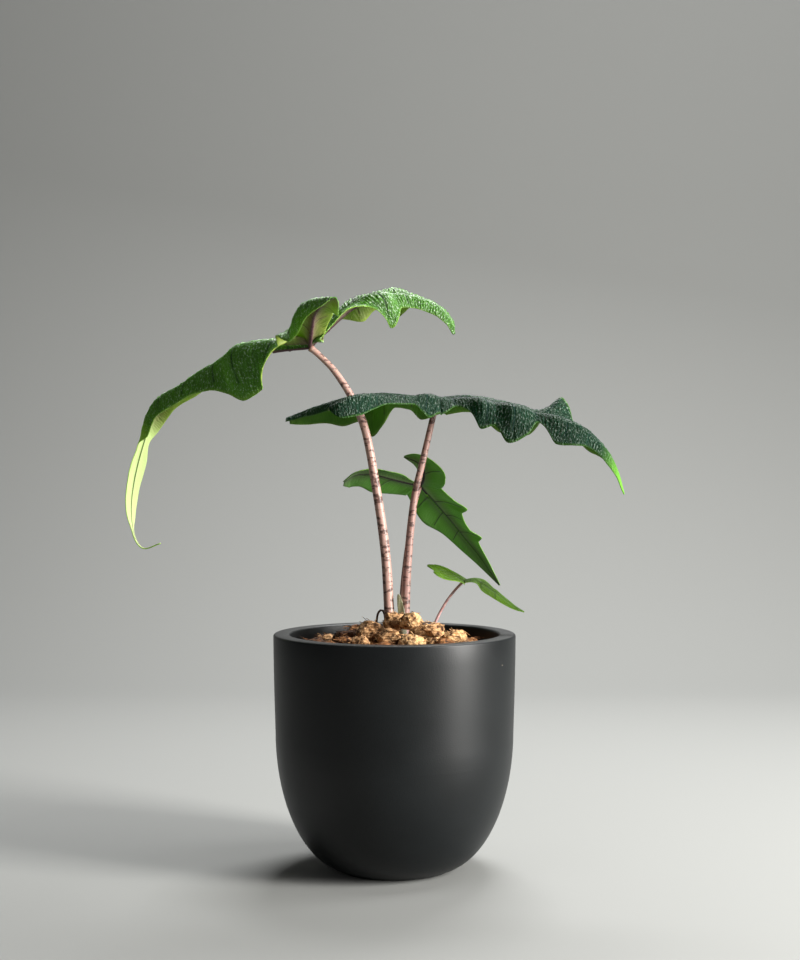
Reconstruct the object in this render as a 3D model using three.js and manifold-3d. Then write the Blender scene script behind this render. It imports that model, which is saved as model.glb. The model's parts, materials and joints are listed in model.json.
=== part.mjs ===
// A small potted alocasia: a round-bottomed glazed pot, a bed of potting mix with
// loose coco husk chips on it, and a corm carrying four leaves on bare stalks.
// Millimetres, +Z up. The origin is the middle of the pot's flat base.

import * as THREE from 'three';
import Module from 'manifold-3d';
import { mergeGeometries, mergeVertices } from 'three/addons/utils/BufferGeometryUtils.js';

const wasm = await Module();
wasm.setup();

// Driving dimensions
const POT_HEIGHT = 106;
const POT_RADIUS = 55;
const POT_SHOULDER_HEIGHT = 62;
const POT_SHOULDER_RADIUS = POT_RADIUS - 1;
const POT_FOOT_RADIUS = 26;
const POT_WALL = 7;
const POT_RIM_ROUND = 0.9;
const GAP = 0.3;
const MIX_EDGE_HEIGHT = POT_HEIGHT - 9.5;
const MIX_MIDDLE_HEIGHT = POT_HEIGHT - 4.4;
const CORM_RADIUS = 8;
const CORM_TOP = POT_HEIGHT - 4;
const CORM_HEIGHT = 20;
const BLADE_THICKNESS = 0.9;
const STALK_SCALE = 1;
const CHIP_SCALE = 1;

const DEGREE = Math.PI / 180;
const plant = new THREE.Group();

function paint(color, roughness, metalness = 0) {
  return new THREE.MeshStandardMaterial({ color, roughness, metalness });
}

function add(name, geometry, material, parent = plant) {
  const mesh = new THREE.Mesh(geometry, material);
  mesh.name = name;
  parent.add(mesh);
  return mesh;
}

function bare(geometry) {
  const copy = geometry.clone();
  for (const name of Object.keys(copy.attributes)) {
    if (name !== 'position') copy.deleteAttribute(name);
  }
  return mergeVertices(copy, 1e-4);
}

function solidOf(geometry) {
  const merged = bare(geometry);
  const vertProperties = new Float32Array(merged.attributes.position.array);
  const triVerts = new Uint32Array(merged.index.array);
  return new wasm.Manifold(new wasm.Mesh({ numProp: 3, vertProperties, triVerts }));
}

function geometryOf(solid) {
  const mesh = solid.getMesh();
  const geometry = new THREE.BufferGeometry();
  const points = new THREE.BufferAttribute(new Float32Array(mesh.vertProperties), 3);
  geometry.setAttribute('position', points);
  geometry.setIndex(new THREE.BufferAttribute(new Uint32Array(mesh.triVerts), 1));
  return geometry;
}

// A lathe turns round +Y, so the turned body is stood up on +Z.
function turned(profile, sides) {
  const points = profile.map(([r, z]) => new THREE.Vector2(r, z));
  return new THREE.LatheGeometry(points, sides).rotateX(Math.PI / 2);
}

// ---------------------------------------------------------------- pot

function bowl(inset, floor, steps) {
  const side = POT_SHOULDER_RADIUS - 22 - inset;
  const rise = POT_SHOULDER_HEIGHT - floor;
  const rows = [];
  for (let i = 0; i <= steps; i += 1) {
    const angle = (90 * i / steps) * DEGREE;
    const r = 22 + side * Math.sin(angle);
    const z = POT_SHOULDER_HEIGHT - rise * Math.cos(angle);
    rows.push([r, z]);
  }
  return rows;
}

const potOutside = bowl(0, 0, 12).filter(([r]) => r > POT_FOOT_RADIUS + 1);
const potInside = bowl(POT_WALL, POT_WALL, 6).reverse();
const rimInner = POT_RADIUS - POT_WALL - 0.4;
const potProfile = [
  [0, 0],
  [POT_FOOT_RADIUS, 0],
  ...potOutside,
  [POT_RADIUS - 0.35, 0.8 * POT_HEIGHT],
  [POT_RADIUS, POT_HEIGHT - POT_RIM_ROUND],
  [POT_RADIUS - 0.27 * POT_RIM_ROUND, POT_HEIGHT - 0.27 * POT_RIM_ROUND],
  [POT_RADIUS - POT_RIM_ROUND, POT_HEIGHT],
  [rimInner + POT_RIM_ROUND, POT_HEIGHT],
  [rimInner, POT_HEIGHT - POT_RIM_ROUND],
  [rimInner - 0.2, 0.8 * POT_HEIGHT],
  ...potInside,
  [0, POT_WALL],
];
add('pot', turned(potProfile, 60), paint('#1d1f21', 0.42));

// ---------------------------------------------------------------- corm and mix

function cormProfile(grow) {
  const radius = CORM_RADIUS + grow;
  const bottom = CORM_TOP - CORM_HEIGHT - grow;
  const middle = CORM_TOP - 0.4 * CORM_HEIGHT;
  const rows = [[0, bottom]];
  for (let i = 1; i <= 6; i += 1) {
    const angle = (90 * i / 6) * DEGREE;
    rows.push([radius * Math.sin(angle), middle - (middle - bottom) * Math.cos(angle)]);
  }
  rows.push([radius * 0.97, CORM_TOP - 1.5 + grow]);
  rows.push([radius * 0.86, CORM_TOP + grow]);
  rows.push([0, CORM_TOP + grow]);
  return rows;
}

const cormPlace = new THREE.Vector3(1.5, 2.2, 0);
const corm = add('corm', turned(cormProfile(0), 20), paint('#5a3f2c', 0.9));
corm.position.copy(cormPlace);

const mixBowl = bowl(POT_WALL + GAP, POT_WALL + GAP, 6);
const mixSurface = [
  [rimInner - 1.6, MIX_EDGE_HEIGHT],
  [0.65 * POT_RADIUS, MIX_EDGE_HEIGHT + 1.3],
  [0.36 * POT_RADIUS, MIX_MIDDLE_HEIGHT - 0.8],
  [0, MIX_MIDDLE_HEIGHT],
];
const mixProfile = [
  [0, POT_WALL + GAP],
  ...mixBowl,
  [rimInner - 0.2 - GAP, 0.8 * POT_HEIGHT],
  [rimInner - 0.1 - GAP, MIX_EDGE_HEIGHT - 1.2],
  ...mixSurface,
];

function mixTop(radius) {
  let k = 0;
  while (k < mixSurface.length - 2 && radius < mixSurface[k + 1][0]) k += 1;
  const [[r0, z0], [r1, z1]] = [mixSurface[k], mixSurface[k + 1]];
  return z0 + (z1 - z0) * Math.min(Math.max((radius - r0) / (r1 - r0), 0), 1);
}

// ---------------------------------------------------------------- stalks

function curveOf(points) {
  const places = points.map(([x, y, z]) => new THREE.Vector3(x, y, z));
  return new THREE.CatmullRomCurve3(places, false, 'catmullrom', 0.5);
}

// A round stalk along a curve, its radius going from the first to the last value.
function stalk(points, radii, steps, sides, grow = 0) {
  const curve = curveOf(points);
  const section = new THREE.Shape();
  for (let i = 0; i < sides; i += 1) {
    const angle = 2 * Math.PI * i / sides;
    if (i === 0) section.moveTo(1, 0);
    else section.lineTo(Math.cos(angle), Math.sin(angle));
  }
  const options = { steps, extrudePath: curve, bevelEnabled: false, curveSegments: 1 };
  const geometry = new THREE.ExtrudeGeometry(section, options);
  const middles = curve.getSpacedPoints(steps);
  const place = geometry.attributes.position;
  const point = new THREE.Vector3();
  for (let i = 0; i < place.count; i += 1) {
    point.fromBufferAttribute(place, i);
    let nearest = 0;
    for (let k = 1; k <= steps; k += 1) {
      if (point.distanceTo(middles[k]) < point.distanceTo(middles[nearest])) nearest = k;
    }
    const along = nearest / steps * (radii.length - 1);
    const from = Math.min(Math.floor(along), radii.length - 2);
    const radius = radii[from] + (radii[from + 1] - radii[from]) * (along - from);
    point.sub(middles[nearest]).multiplyScalar(radius * STALK_SCALE + grow).add(middles[nearest]);
    place.setXYZ(i, point.x, point.y, point.z);
  }
  return geometry;
}

// Stalks and blades are measured with the corm's top at 102, and stand on it.
const growth = new THREE.Group();
growth.position.z = CORM_TOP - 102;
plant.add(growth);

const stalkPoints = {
  petiole_1: [
    [-2.1, 0, 102.8], [-2.3, 0, 113], [-4.3, 0, 144], [-8.9, 0, 175.5], [-13.4, 0, 198.5],
    [-19.4, 0, 213], [-27.1, 0, 225], [-34, 0, 232.2], [-37, -0.2, 234.6],
  ],
  petiole_2: [
    [4.6, 0, 102.8], [4.8, 0, 113], [6.1, 0, 139.5], [8.9, 0, 166.5], [13, 0, 185],
    [17.3, 0, 203.5], [18.4, 0, 208.4],
  ],
  petiole_3: [
    [2.6, 6.4, 102.8], [3, 8, 113], [3.9, 14, 129], [6.2, 19.5, 147.5], [9.1, 23, 161.5],
    [11.4, 24.2, 171.2],
  ],
  petiole_4: [
    [15.4, 8, 93], [17, 8, 103], [19.1, 8, 110.7], [23, 8, 118.3], [27.2, 8, 124.2],
    [30.7, 8, 127.6],
  ],
};
const stalkRadii = {
  petiole_1: [2.4, 2.2, 2.0, 1.8, 1.25],
  petiole_2: [2.15, 1.9, 1.7, 1.5, 1.3],
  petiole_3: [1.25, 1.05, 0.9, 0.8],
  petiole_4: [0.9, 0.7, 0.6, 0.55],
};
const stalkPaint = {
  petiole_1: paint('#b78d80', 0.55),
  petiole_2: paint('#b28678', 0.55),
  petiole_3: paint('#7d5a50', 0.55),
  petiole_4: paint('#b98a86', 0.55),
};
for (const [name, points] of Object.entries(stalkPoints)) {
  const steps = name === 'petiole_4' ? 10 : 16;
  const sides = name === 'petiole_4' ? 8 : 10;
  add(name, stalk(points, stalkRadii[name], steps, sides), stalkPaint[name], growth);
}

const mixSolid = solidOf(turned(mixProfile, 60));
const cormPit = solidOf(turned(cormProfile(GAP), 20).translate(cormPlace.x, cormPlace.y, 0));
const stalkPit = solidOf(
  stalk(stalkPoints.petiole_4, stalkRadii.petiole_4, 10, 8, GAP).translate(0, 0, growth.position.z - GAP),
);
const mix = geometryOf(mixSolid.subtract(cormPit).subtract(stalkPit));
add('potting_mix', mix, paint('#3a261a', 0.95));

// ---------------------------------------------------------------- leaf blades

// A flat grid whose points are moved to place(u, v), both going from 0 to 1.
function sheet(rows, columns, place) {
  const geometry = new THREE.PlaneGeometry(1, 1, rows, columns);
  const points = geometry.attributes.position;
  for (let i = 0; i < points.count; i += 1) {
    const spot = place(points.getX(i) + 0.5, points.getY(i) + 0.5);
    points.setXYZ(i, spot.x, spot.y, spot.z);
  }
  return geometry;
}

// A closed body of even thickness round an open sheet.
function thicken(open, thickness) {
  const middle = bare(open);
  middle.computeVertexNormals();
  const place = middle.attributes.position;
  const normal = middle.attributes.normal;
  const count = place.count;
  const points = [];
  for (const side of [0.5, -0.5]) {
    for (let i = 0; i < count; i += 1) {
      const point = new THREE.Vector3().fromBufferAttribute(place, i);
      const out = new THREE.Vector3().fromBufferAttribute(normal, i);
      point.addScaledVector(out, side * thickness);
      points.push(point.x, point.y, point.z);
    }
  }
  const faces = [];
  const edges = new Set();
  const index = middle.index;
  for (let i = 0; i < index.count; i += 3) {
    const corners = [index.getX(i), index.getX(i + 1), index.getX(i + 2)];
    const [a, b, c] = corners;
    if (a === b || b === c || c === a) continue;
    faces.push(a, b, c, count + a, count + c, count + b);
    edges.add(`${a},${b}`).add(`${b},${c}`).add(`${c},${a}`);
  }
  for (const edge of edges) {
    const [a, b] = edge.split(',').map(Number);
    if (edges.has(`${b},${a}`)) continue;
    faces.push(a, count + a, b, b, count + a, count + b);
  }
  const geometry = new THREE.BufferGeometry();
  geometry.setAttribute('position', new THREE.Float32BufferAttribute(points, 3));
  geometry.setIndex(faces);
  return geometry;
}

// Values between the rows of a list whose rows start with their place along the arm.
function between(rows, along) {
  let k = 0;
  while (k < rows.length - 2 && along >= rows[k + 1][0]) k += 1;
  const span = rows[k + 1][0] - rows[k][0];
  const s = (along - rows[k][0]) / span;
  const slope = (i, c) => {
    if (i === 0 || i === rows.length - 1) return 0;
    const before = (rows[i][c] - rows[i - 1][c]) / (rows[i][0] - rows[i - 1][0]);
    const after = (rows[i + 1][c] - rows[i][c]) / (rows[i + 1][0] - rows[i][0]);
    return before * after > 0 ? 2 * before * after / (before + after) : 0;
  };
  return [1, 2, 3].map((c) => {
    const y0 = rows[k][c];
    const y1 = rows[k + 1][c];
    const m0 = slope(k, c);
    let m1 = slope(k + 1, c);
    if (k === rows.length - 2) m1 = (y1 - y0) / span * 1.5 - m0 * 0.5;
    const s2 = s * s;
    const s3 = s2 * s;
    return (2 * s3 - 3 * s2 + 1) * y0 + (s3 - 2 * s2 + s) * span * m0
      + (3 * s2 - 2 * s3) * y1 + (s3 - s2) * span * m1;
  });
}

// One arm's midrib: points, directions and upward normals that turn as little as they can.
function midrib(points, up, steps) {
  const curve = curveOf(points);
  curve.arcLengthDivisions = 400;
  const rows = [];
  for (let i = 0; i <= steps; i += 1) {
    const spot = curve.getPointAt(i / steps);
    const way = curve.getTangentAt(i / steps);
    let normal = up.clone();
    if (i > 0) {
      const last = rows[i - 1];
      const step = spot.clone().sub(last.spot);
      const turn = 2 / step.dot(step);
      normal = last.normal.clone().addScaledVector(step, -turn * step.dot(last.normal));
      const bent = last.way.clone().addScaledVector(step, -turn * step.dot(last.way));
      const rest = way.clone().sub(bent);
      const size = rest.dot(rest);
      if (size > 1e-12) normal.addScaledVector(rest, -2 / size * rest.dot(normal));
    }
    normal.addScaledVector(way, -normal.dot(way)).normalize();
    rows.push({ spot, way, normal });
  }
  return rows;
}

// Across a rib the blade climbs from the midrib, turns over and drops to the margin.
const TURN_OVER = 0.66;
const RIB_STEPS = 60;
function ribPoint(width, climb, drop, share) {
  let out = 0;
  let high = 0;
  const stop = share * RIB_STEPS;
  for (let k = 0; k < stop - 1e-9; k += 1) {
    const part = Math.min(1, stop - k);
    const s = Math.min((k + 0.5) / RIB_STEPS / TURN_OVER, 1);
    const angle = (climb - (climb + drop) * s * s * (3 - 2 * s)) * DEGREE;
    out += part * width / RIB_STEPS * Math.cos(angle);
    high += part * width / RIB_STEPS * Math.sin(angle);
  }
  return [out, high];
}

const SHARES = {
  4: [0, 0.2, 0.42, 0.68, 1],
  3: [0, 0.3, 0.6, 1],
};

function blade(leaf) {
  const up = new THREE.Vector3(...leaf.up).normalize();
  const arms = {
    tip: midrib(leaf.tip, up, leaf.steps[0]),
    left: midrib(leaf.left, up, leaf.steps[1]),
    right: midrib(leaf.right, up, leaf.steps[1]),
  };
  const level = (way) => way.clone().addScaledVector(up, -way.dot(up)).normalize();
  const ahead = level(arms.tip[0].way);
  const leftWay = level(arms.left[0].way);
  const rightWay = level(arms.right[0].way);
  const outLeft = level(ahead.clone().add(leftWay));
  const outRight = level(ahead.clone().add(rightWay));
  const back = level(leftWay.clone().add(rightWay));

  const strip = (arm, rows, first, slant, side) => {
    const steps = arm.length - 1;
    const shares = SHARES[leaf.columns];
    const start = new THREE.Vector3().crossVectors(arm[0].normal, arm[0].way);
    start.multiplyScalar(side);
    const opening = Math.atan2(first.dot(start), first.dot(arm[0].way));
    const lines = arm.map((row, i) => {
      const along = i / steps;
      const [width, climb, drop] = between(rows, along);
      const aside = new THREE.Vector3().crossVectors(row.normal, row.way).multiplyScalar(side);
      const s = Math.min(along / 0.22, 1);
      const angle = opening + (slant * DEGREE - opening) * s * s * (3 - 2 * s);
      const way = row.way.clone().multiplyScalar(Math.cos(angle));
      way.addScaledVector(aside, Math.sin(angle));
      const reach = i === 0 ? first : way;
      const lift = i === 0 ? up : row.normal;
      return shares.map((share) => {
        const [out, high] = ribPoint(Math.max(width, 0.45), climb, drop, share);
        return row.spot.clone().addScaledVector(reach, out).addScaledVector(lift, high);
      });
    });
    return sheet(steps, leaf.columns, (u, v) => {
      const across = side > 0 ? v : 1 - v;
      return lines[Math.round(u * steps)][Math.round(across * leaf.columns)];
    });
  };

  const open = mergeGeometries([
    strip(arms.tip, leaf.tipLeft, outLeft, leaf.slant, 1),
    strip(arms.tip, leaf.tipRight, outRight, leaf.slant, -1),
    strip(arms.left, leaf.leftOuter, outLeft, 62, -1),
    strip(arms.left, leaf.leftInner, back, 62, 1),
    strip(arms.right, leaf.rightOuter, outRight, 62, 1),
    strip(arms.right, leaf.rightInner, back, 62, -1),
  ]);
  return thicken(open, BLADE_THICKNESS);
}

// Each leaf has a long arm to its drip tip and two arms behind the stalk, given by
// midrib points. Each side of an arm is a list of rows: place along the arm from 0 to 1,
// width in mm, then the degrees it climbs from the midrib and drops at the margin.
const leaves = {
  blade_1: {
    up: [-0.05, -0.15, 1],
    slant: 58,
    steps: [32, 13],
    columns: 4,
    tip: [
      [-38.5, 0, 236], [-55, 9, 235], [-71, 18, 231.5], [-87, 26, 226], [-99, 34, 220],
      [-112.5, 44, 213], [-120.5, 52, 201.5], [-126, 57, 187.5], [-129.5, 58, 172.5],
      [-130.5, 58, 159.5], [-128.5, 57, 147.5], [-123.5, 55, 142], [-115, 51, 144.5],
    ],
    left: [
      [-38.5, 0, 236], [-37, -12, 243], [-35, -25, 248], [-31, -38, 251], [-26, -50, 252.5],
    ],
    right: [
      [-38.5, 0, 236], [-29.5, 6, 245.5], [-18, 13, 256], [-4.5, 18, 261], [8, 21, 261],
      [19.5, 22, 257], [26, 22, 251], [28, 22, 245],
    ],
    tipLeft: [
      [0, 20, 66, 20], [0.05, 24, 62, 55], [0.09, 36, 60, 95], [0.15, 41, 60, 98],
      [0.21, 29, 56, 90], [0.27, 20, 52, 75], [0.36, 16, 45, 60], [0.46, 15.5, 45, 66],
      [0.56, 13, 42, 70], [0.63, 6, 20, 20], [0.68, 7.5, 20, 20], [0.76, 6.5, 15, 15],
      [0.83, 4, 10, 10], [0.89, 0.8, 5, 5], [1, 0.5, 5, 5],
    ],
    tipRight: [
      [0, 18, 65, 12], [0.06, 18, 65, 10], [0.15, 20, 60, 15], [0.26, 14, 50, 30],
      [0.36, 13, 45, 50], [0.48, 12, 45, 60], [0.58, 8, 30, 40], [0.63, 5, 20, 20],
      [0.68, 7, 15, 20], [0.76, 6, 10, 10], [0.83, 4, 10, 10], [0.89, 0.8, 5, 5], [1, 0.5, 5, 5],
    ],
    leftOuter: [
      [0, 20, 66, 20], [0.25, 24, 62, 75], [0.5, 23, 60, 85], [0.75, 15, 50, 70],
      [1, 3, 30, 60],
    ],
    leftInner: [
      [0, 8, 60, 0], [0.3, 12, 55, 0], [0.6, 12, 45, 50], [0.8, 9, 45, 60],
      [1, 3, 30, 60],
    ],
    rightOuter: [
      [0, 18, 65, 12], [0.2, 13, 60, 40], [0.37, 21, 55, 95], [0.46, 15, 55, 80],
      [0.58, 23, 55, 95], [0.68, 11, 45, 60], [0.85, 9, 40, 60], [1, 2, 30, 50],
    ],
    rightInner: [
      [0, 8, 60, 0], [0.18, 12, 62, -10], [0.32, 12, 60, 30], [0.44, 28, 55, 95],
      [0.56, 12, 45, 60], [0.85, 8, 40, 60], [1, 2, 30, 50],
    ],
  },
  blade_2: {
    up: [0.02, -0.05, 1],
    slant: 58,
    steps: [24, 13],
    columns: 4,
    tip: [
      [19, 0, 210], [31.5, -3, 211], [47.5, -6, 207.5], [65.5, -9, 204], [80, -11, 199.5],
      [88.5, -12, 194], [95, -13, 187.5], [99.5, -14, 179], [102.5, -14, 169.5],
    ],
    left: [
      [19, 0, 210], [9.5, 9, 213], [-4.5, 22, 215], [-21.5, 36, 214], [-37.5, 46, 210.5],
      [-51.5, 50, 206],
    ],
    right: [
      [19, 0, 210], [9.5, -7, 212], [-4, -17, 212], [-17, -25, 211], [-28, -29, 207.5],
    ],
    tipLeft: [
      [0, 16, 60, 60], [0.1, 16, 60, 60], [0.22, 26, 50, 70], [0.34, 24, 50, 70],
      [0.42, 14, 45, 20], [0.48, 15, 45, -45], [0.55, 14, 40, 20], [0.64, 16, 40, 60],
      [0.8, 8, 30, 50], [0.92, 3.5, 20, 30], [1, 0.5, 10, 40],
    ],
    tipRight: [
      [0, 16, 60, 60], [0.08, 9, 55, 50], [0.13, 12, 52, 60], [0.18, 22, 50, 80],
      [0.235, 18, 48, 66], [0.3, 28, 50, 88], [0.37, 21, 48, 75], [0.43, 10, 45, 45],
      [0.52, 20, 45, 80], [0.6, 17, 45, 70], [0.7, 10, 40, 55], [0.8, 8, 35, 50],
      [0.92, 3.5, 20, 30], [1, 0.5, 10, 40],
    ],
    leftOuter: [
      [0, 16, 60, 60], [0.13, 17, 30, 85], [0.22, 13, 30, 62], [0.32, 12, 30, 60],
      [0.42, 22, 25, 95], [0.5, 28, 20, 100], [0.58, 17, 22, 80], [0.68, 18, 25, 85],
      [0.8, 13, 25, 70], [0.9, 10, 25, 60], [1, 5, 20, 50],
    ],
    leftInner: [
      [0, 5, 20, 20], [0.14, 8, 45, 60], [0.4, 10, 45, 60], [0.64, 9, 40, 60],
      [0.8, 8, 30, 60], [0.9, 6, 30, 60], [1, 4, 20, 50],
    ],
    rightOuter: [
      [0, 16, 60, 60], [0.08, 19, 60, 80], [0.16, 15, 55, 70], [0.25, 9, 45, 50],
      [0.5, 9, 45, 50], [0.62, 12, 50, 65], [0.75, 15, 50, 76], [0.9, 12, 45, 74],
      [1, 3, 30, 60],
    ],
    rightInner: [
      [0, 5, 20, 20], [0.3, 11, 45, 40], [0.6, 13, 45, 60], [0.85, 9, 45, 60],
      [1, 3, 30, 60],
    ],
  },
  blade_3: {
    up: [0.24, 0.66, 0.71],
    slant: 55,
    steps: [18, 10],
    columns: 3,
    tip: [
      [12, 25, 173], [19, 33, 165], [26, 41, 157], [33.5, 48, 148], [42, 53, 137.5],
      [51.5, 56, 124],
    ],
    left: [
      [12, 25, 173], [5.5, 22, 174.5], [-2.5, 18, 176.5], [-11, 14, 178.5], [-18, 11, 178],
      [-23, 10, 175],
    ],
    right: [
      [12, 25, 173], [13.5, 20, 176], [13.5, 16, 180.5], [10.5, 14, 184], [4.5, 14, 186.5],
    ],
    tipLeft: [
      [0, 10, 15, 10], [0.2, 15, 15, 20], [0.4, 10, 15, 20], [0.65, 6.5, 15, 20],
      [0.85, 3, 10, 20], [1, 0.5, 5, 5],
    ],
    tipRight: [
      [0, 10, 15, 10], [0.11, 13, 15, 15], [0.17, 17, 15, 15], [0.23, 12.5, 15, 20],
      [0.44, 8.5, 15, 20], [0.51, 11.5, 15, 15], [0.58, 7.5, 15, 20],
      [0.85, 3, 10, 20], [1, 0.5, 5, 5],
    ],
    leftOuter: [
      [0, 10, 15, 10], [0.3, 13, 15, 20], [0.6, 10, 15, 30], [0.85, 8, 15, 30], [1, 3, 10, 20],
    ],
    leftInner: [
      [0, 3, 10, 10], [0.3, 8, 15, 20], [0.6, 9, 15, 30], [0.85, 6, 15, 30], [1, 2, 10, 20],
    ],
    rightOuter: [
      [0, 10, 15, 10], [0.3, 12, 15, 20], [0.6, 9, 15, 30], [0.85, 4, 15, 30], [1, 0.5, 10, 20],
    ],
    rightInner: [
      [0, 3, 10, 10], [0.3, 4, 15, 20], [0.6, 3, 15, 30], [0.85, 1.5, 15, 30], [1, 0.5, 10, 20],
    ],
  },
  blade_4: {
    up: [0.35, -0.25, 0.9],
    slant: 50,
    steps: [12, 7],
    columns: 3,
    tip: [
      [31.5, 8, 129], [37, 6, 129.5], [42.5, 3, 126.5], [49, 0, 122], [54.5, -2, 118],
      [58.5, -3, 116],
    ],
    left: [[31.5, 8, 129], [27, 12, 132], [22.5, 15, 134.5], [18.5, 17, 136]],
    right: [[31.5, 8, 129], [27, 4, 131.5], [22, 1, 133], [18, -1, 134.5]],
    tipLeft: [
      [0, 5, 20, 10], [0.25, 7, 20, 20], [0.6, 5, 15, 20], [0.85, 2.5, 10, 10],
      [1, 0.5, 5, 5],
    ],
    tipRight: [
      [0, 5, 20, 10], [0.25, 7, 20, 20], [0.6, 5, 15, 20], [0.85, 2.5, 10, 10],
      [1, 0.5, 5, 5],
    ],
    leftOuter: [[0, 5, 20, 10], [0.4, 6, 15, 15], [0.8, 5, 15, 20], [1, 2, 10, 20]],
    leftInner: [[0, 3, 10, 5], [0.4, 6, 8, 5], [0.8, 7, 5, 5], [1, 4, 5, 5]],
    rightOuter: [[0, 5, 20, 10], [0.4, 6, 15, 15], [0.8, 5, 15, 20], [1, 2, 10, 20]],
    rightInner: [[0, 3, 10, 5], [0.4, 6, 8, 5], [0.8, 7, 5, 5], [1, 4, 5, 5]],
  },
};
const bladePaint = {
  blade_1: paint('#3f7d22', 0.45),
  blade_2: paint('#1f4a3a', 0.45),
  blade_3: paint('#3f6e24', 0.5),
  blade_4: paint('#6a9420', 0.5),
};
for (const [name, leaf] of Object.entries(leaves)) {
  add(name, blade(leaf), bladePaint[name], growth);
}

// ---------------------------------------------------------------- dried sheath and root

// A papery sheath left from an older stalk, curled round the foot of petiole_2.
const SHEATH_FOOT = 103.2;
const SHEATH_TIP = 125;
const sheathAxis = curveOf(stalkPoints.petiole_2);
function sheathPoint(u, v) {
  const height = SHEATH_FOOT + (SHEATH_TIP - SHEATH_FOOT) * u;
  const middle = sheathAxis.getPoint((u * 0.24));
  const half = (75 - 62 * u * u) * DEGREE;
  const angle = 215 * DEGREE + (2 * v - 1) * half;
  const radius = 2.15 * STALK_SCALE + 0.6 + 0.5 * u + 0.5 * u * u;
  const x = middle.x + radius * Math.cos(angle);
  const y = middle.y + radius * Math.sin(angle);
  return new THREE.Vector3(x, y, height);
}
add('sheath', thicken(sheet(7, 5, sheathPoint), 0.4), paint('#cfc9a8', 0.7), growth);

const rootPoints = [
  [-8.6, 5.5, 103], [-8.4, 4.4, 108.5], [-7.6, 3.4, 114.6], [-5.6, 2.9, 116.2],
  [-4.4, 4.6, 112.6], [-4.6, 6.2, 104],
];
add('root', stalk(rootPoints, [0.6, 0.5, 0.5, 0.45], 12, 6), paint('#3b2a20', 0.8), growth);

// ---------------------------------------------------------------- coco husk chips

let seed = 11;
function random() {
  seed = (seed * 16807) % 2147483647;
  return seed / 2147483647;
}

// A torn block: a sphere squared off, its corners pulled in and out at random.
function husk(length, width, height) {
  const geometry = bare(new THREE.IcosahedronGeometry(1, 1));
  const place = geometry.attributes.position;
  const point = new THREE.Vector3();
  for (let i = 0; i < place.count; i += 1) {
    point.fromBufferAttribute(place, i);
    const rough = 0.82 + 0.26 * random();
    const square = (c) => Math.sign(c) * Math.abs(c) ** 0.85;
    point.set(square(point.x) * length, square(point.y) * width, square(point.z) * height);
    point.multiplyScalar(rough * 0.5 * CHIP_SCALE);
    place.setXYZ(i, point.x, point.y, point.z);
  }
  return geometry;
}

// The height of what a chip can land on, over square cells across the pot.
const CELL = 0.5;
const CELLS = 4 * Math.ceil(POT_RADIUS);
const heap = new Float64Array(CELLS * CELLS);
for (let i = 0; i < CELLS * CELLS; i += 1) {
  const x = ((i % CELLS) - CELLS / 2) * CELL;
  const y = (Math.floor(i / CELLS) - CELLS / 2) * CELL;
  const r = Math.hypot(x, y);
  heap[i] = r < rimInner - 1 ? mixTop(r) : 500;
  if (Math.hypot(x - cormPlace.x, y - cormPlace.y) < CORM_RADIUS + 0.6) heap[i] = CORM_TOP;
}

// Stalks, sheath and root stand up through the heap, so no chip can land on these discs.
const upright = [
  [-2.2, 0, 3.2], [4.8, -0.3, 3.8], [3, 7.6, 2.2], [17.2, 8, 1.8], [19.4, 8, 1.6],
  [-8.4, 4.8, 1.3], [-6.4, 3.2, 1.3], [-4.6, 5, 1.3],
];
for (const [x, y, radius] of upright) {
  for (let i = 0; i < CELLS * CELLS; i += 1) {
    const far = Math.hypot(
      ((i % CELLS) - CELLS / 2) * CELL - x,
      (Math.floor(i / CELLS) - CELLS / 2) * CELL - y,
    );
    if (far < radius + STALK_SCALE - 1) heap[i] = 500;
  }
}

function trianglesOf(mesh) {
  mesh.updateMatrixWorld(true);
  const place = mesh.geometry.attributes.position;
  const index = mesh.geometry.index;
  const corner = (k) => new THREE.Vector3().fromBufferAttribute(place, index.getX(k))
    .applyMatrix4(mesh.matrixWorld);
  const list = [];
  for (let k = 0; k < index.count; k += 3) {
    list.push(new THREE.Triangle(corner(k), corner(k + 1), corner(k + 2)));
  }
  return list;
}

// The cells under a triangle with its height at each of them.
function cellsUnder(triangle, visit) {
  const { a, b, c } = triangle;
  const area = (b.x - a.x) * (c.y - a.y) - (b.y - a.y) * (c.x - a.x);
  if (Math.abs(area) < 1e-6) return;
  const cell = (value, round) => round(value / CELL + CELLS / 2);
  const x0 = cell(Math.min(a.x, b.x, c.x), Math.floor);
  const x1 = cell(Math.max(a.x, b.x, c.x), Math.ceil);
  const y0 = cell(Math.min(a.y, b.y, c.y), Math.floor);
  const y1 = cell(Math.max(a.y, b.y, c.y), Math.ceil);
  for (let iy = y0; iy <= y1; iy += 1) {
    for (let ix = x0; ix <= x1; ix += 1) {
      const x = (ix - CELLS / 2) * CELL;
      const y = (iy - CELLS / 2) * CELL;
      const s = ((x - a.x) * (c.y - a.y) - (y - a.y) * (c.x - a.x)) / area;
      const t = ((b.x - a.x) * (y - a.y) - (b.y - a.y) * (x - a.x)) / area;
      if (s < -0.02 || t < -0.02 || s + t > 1.02) continue;
      visit(iy * CELLS + ix, a.z + s * (b.z - a.z) + t * (c.z - a.z));
    }
  }
}

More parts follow.
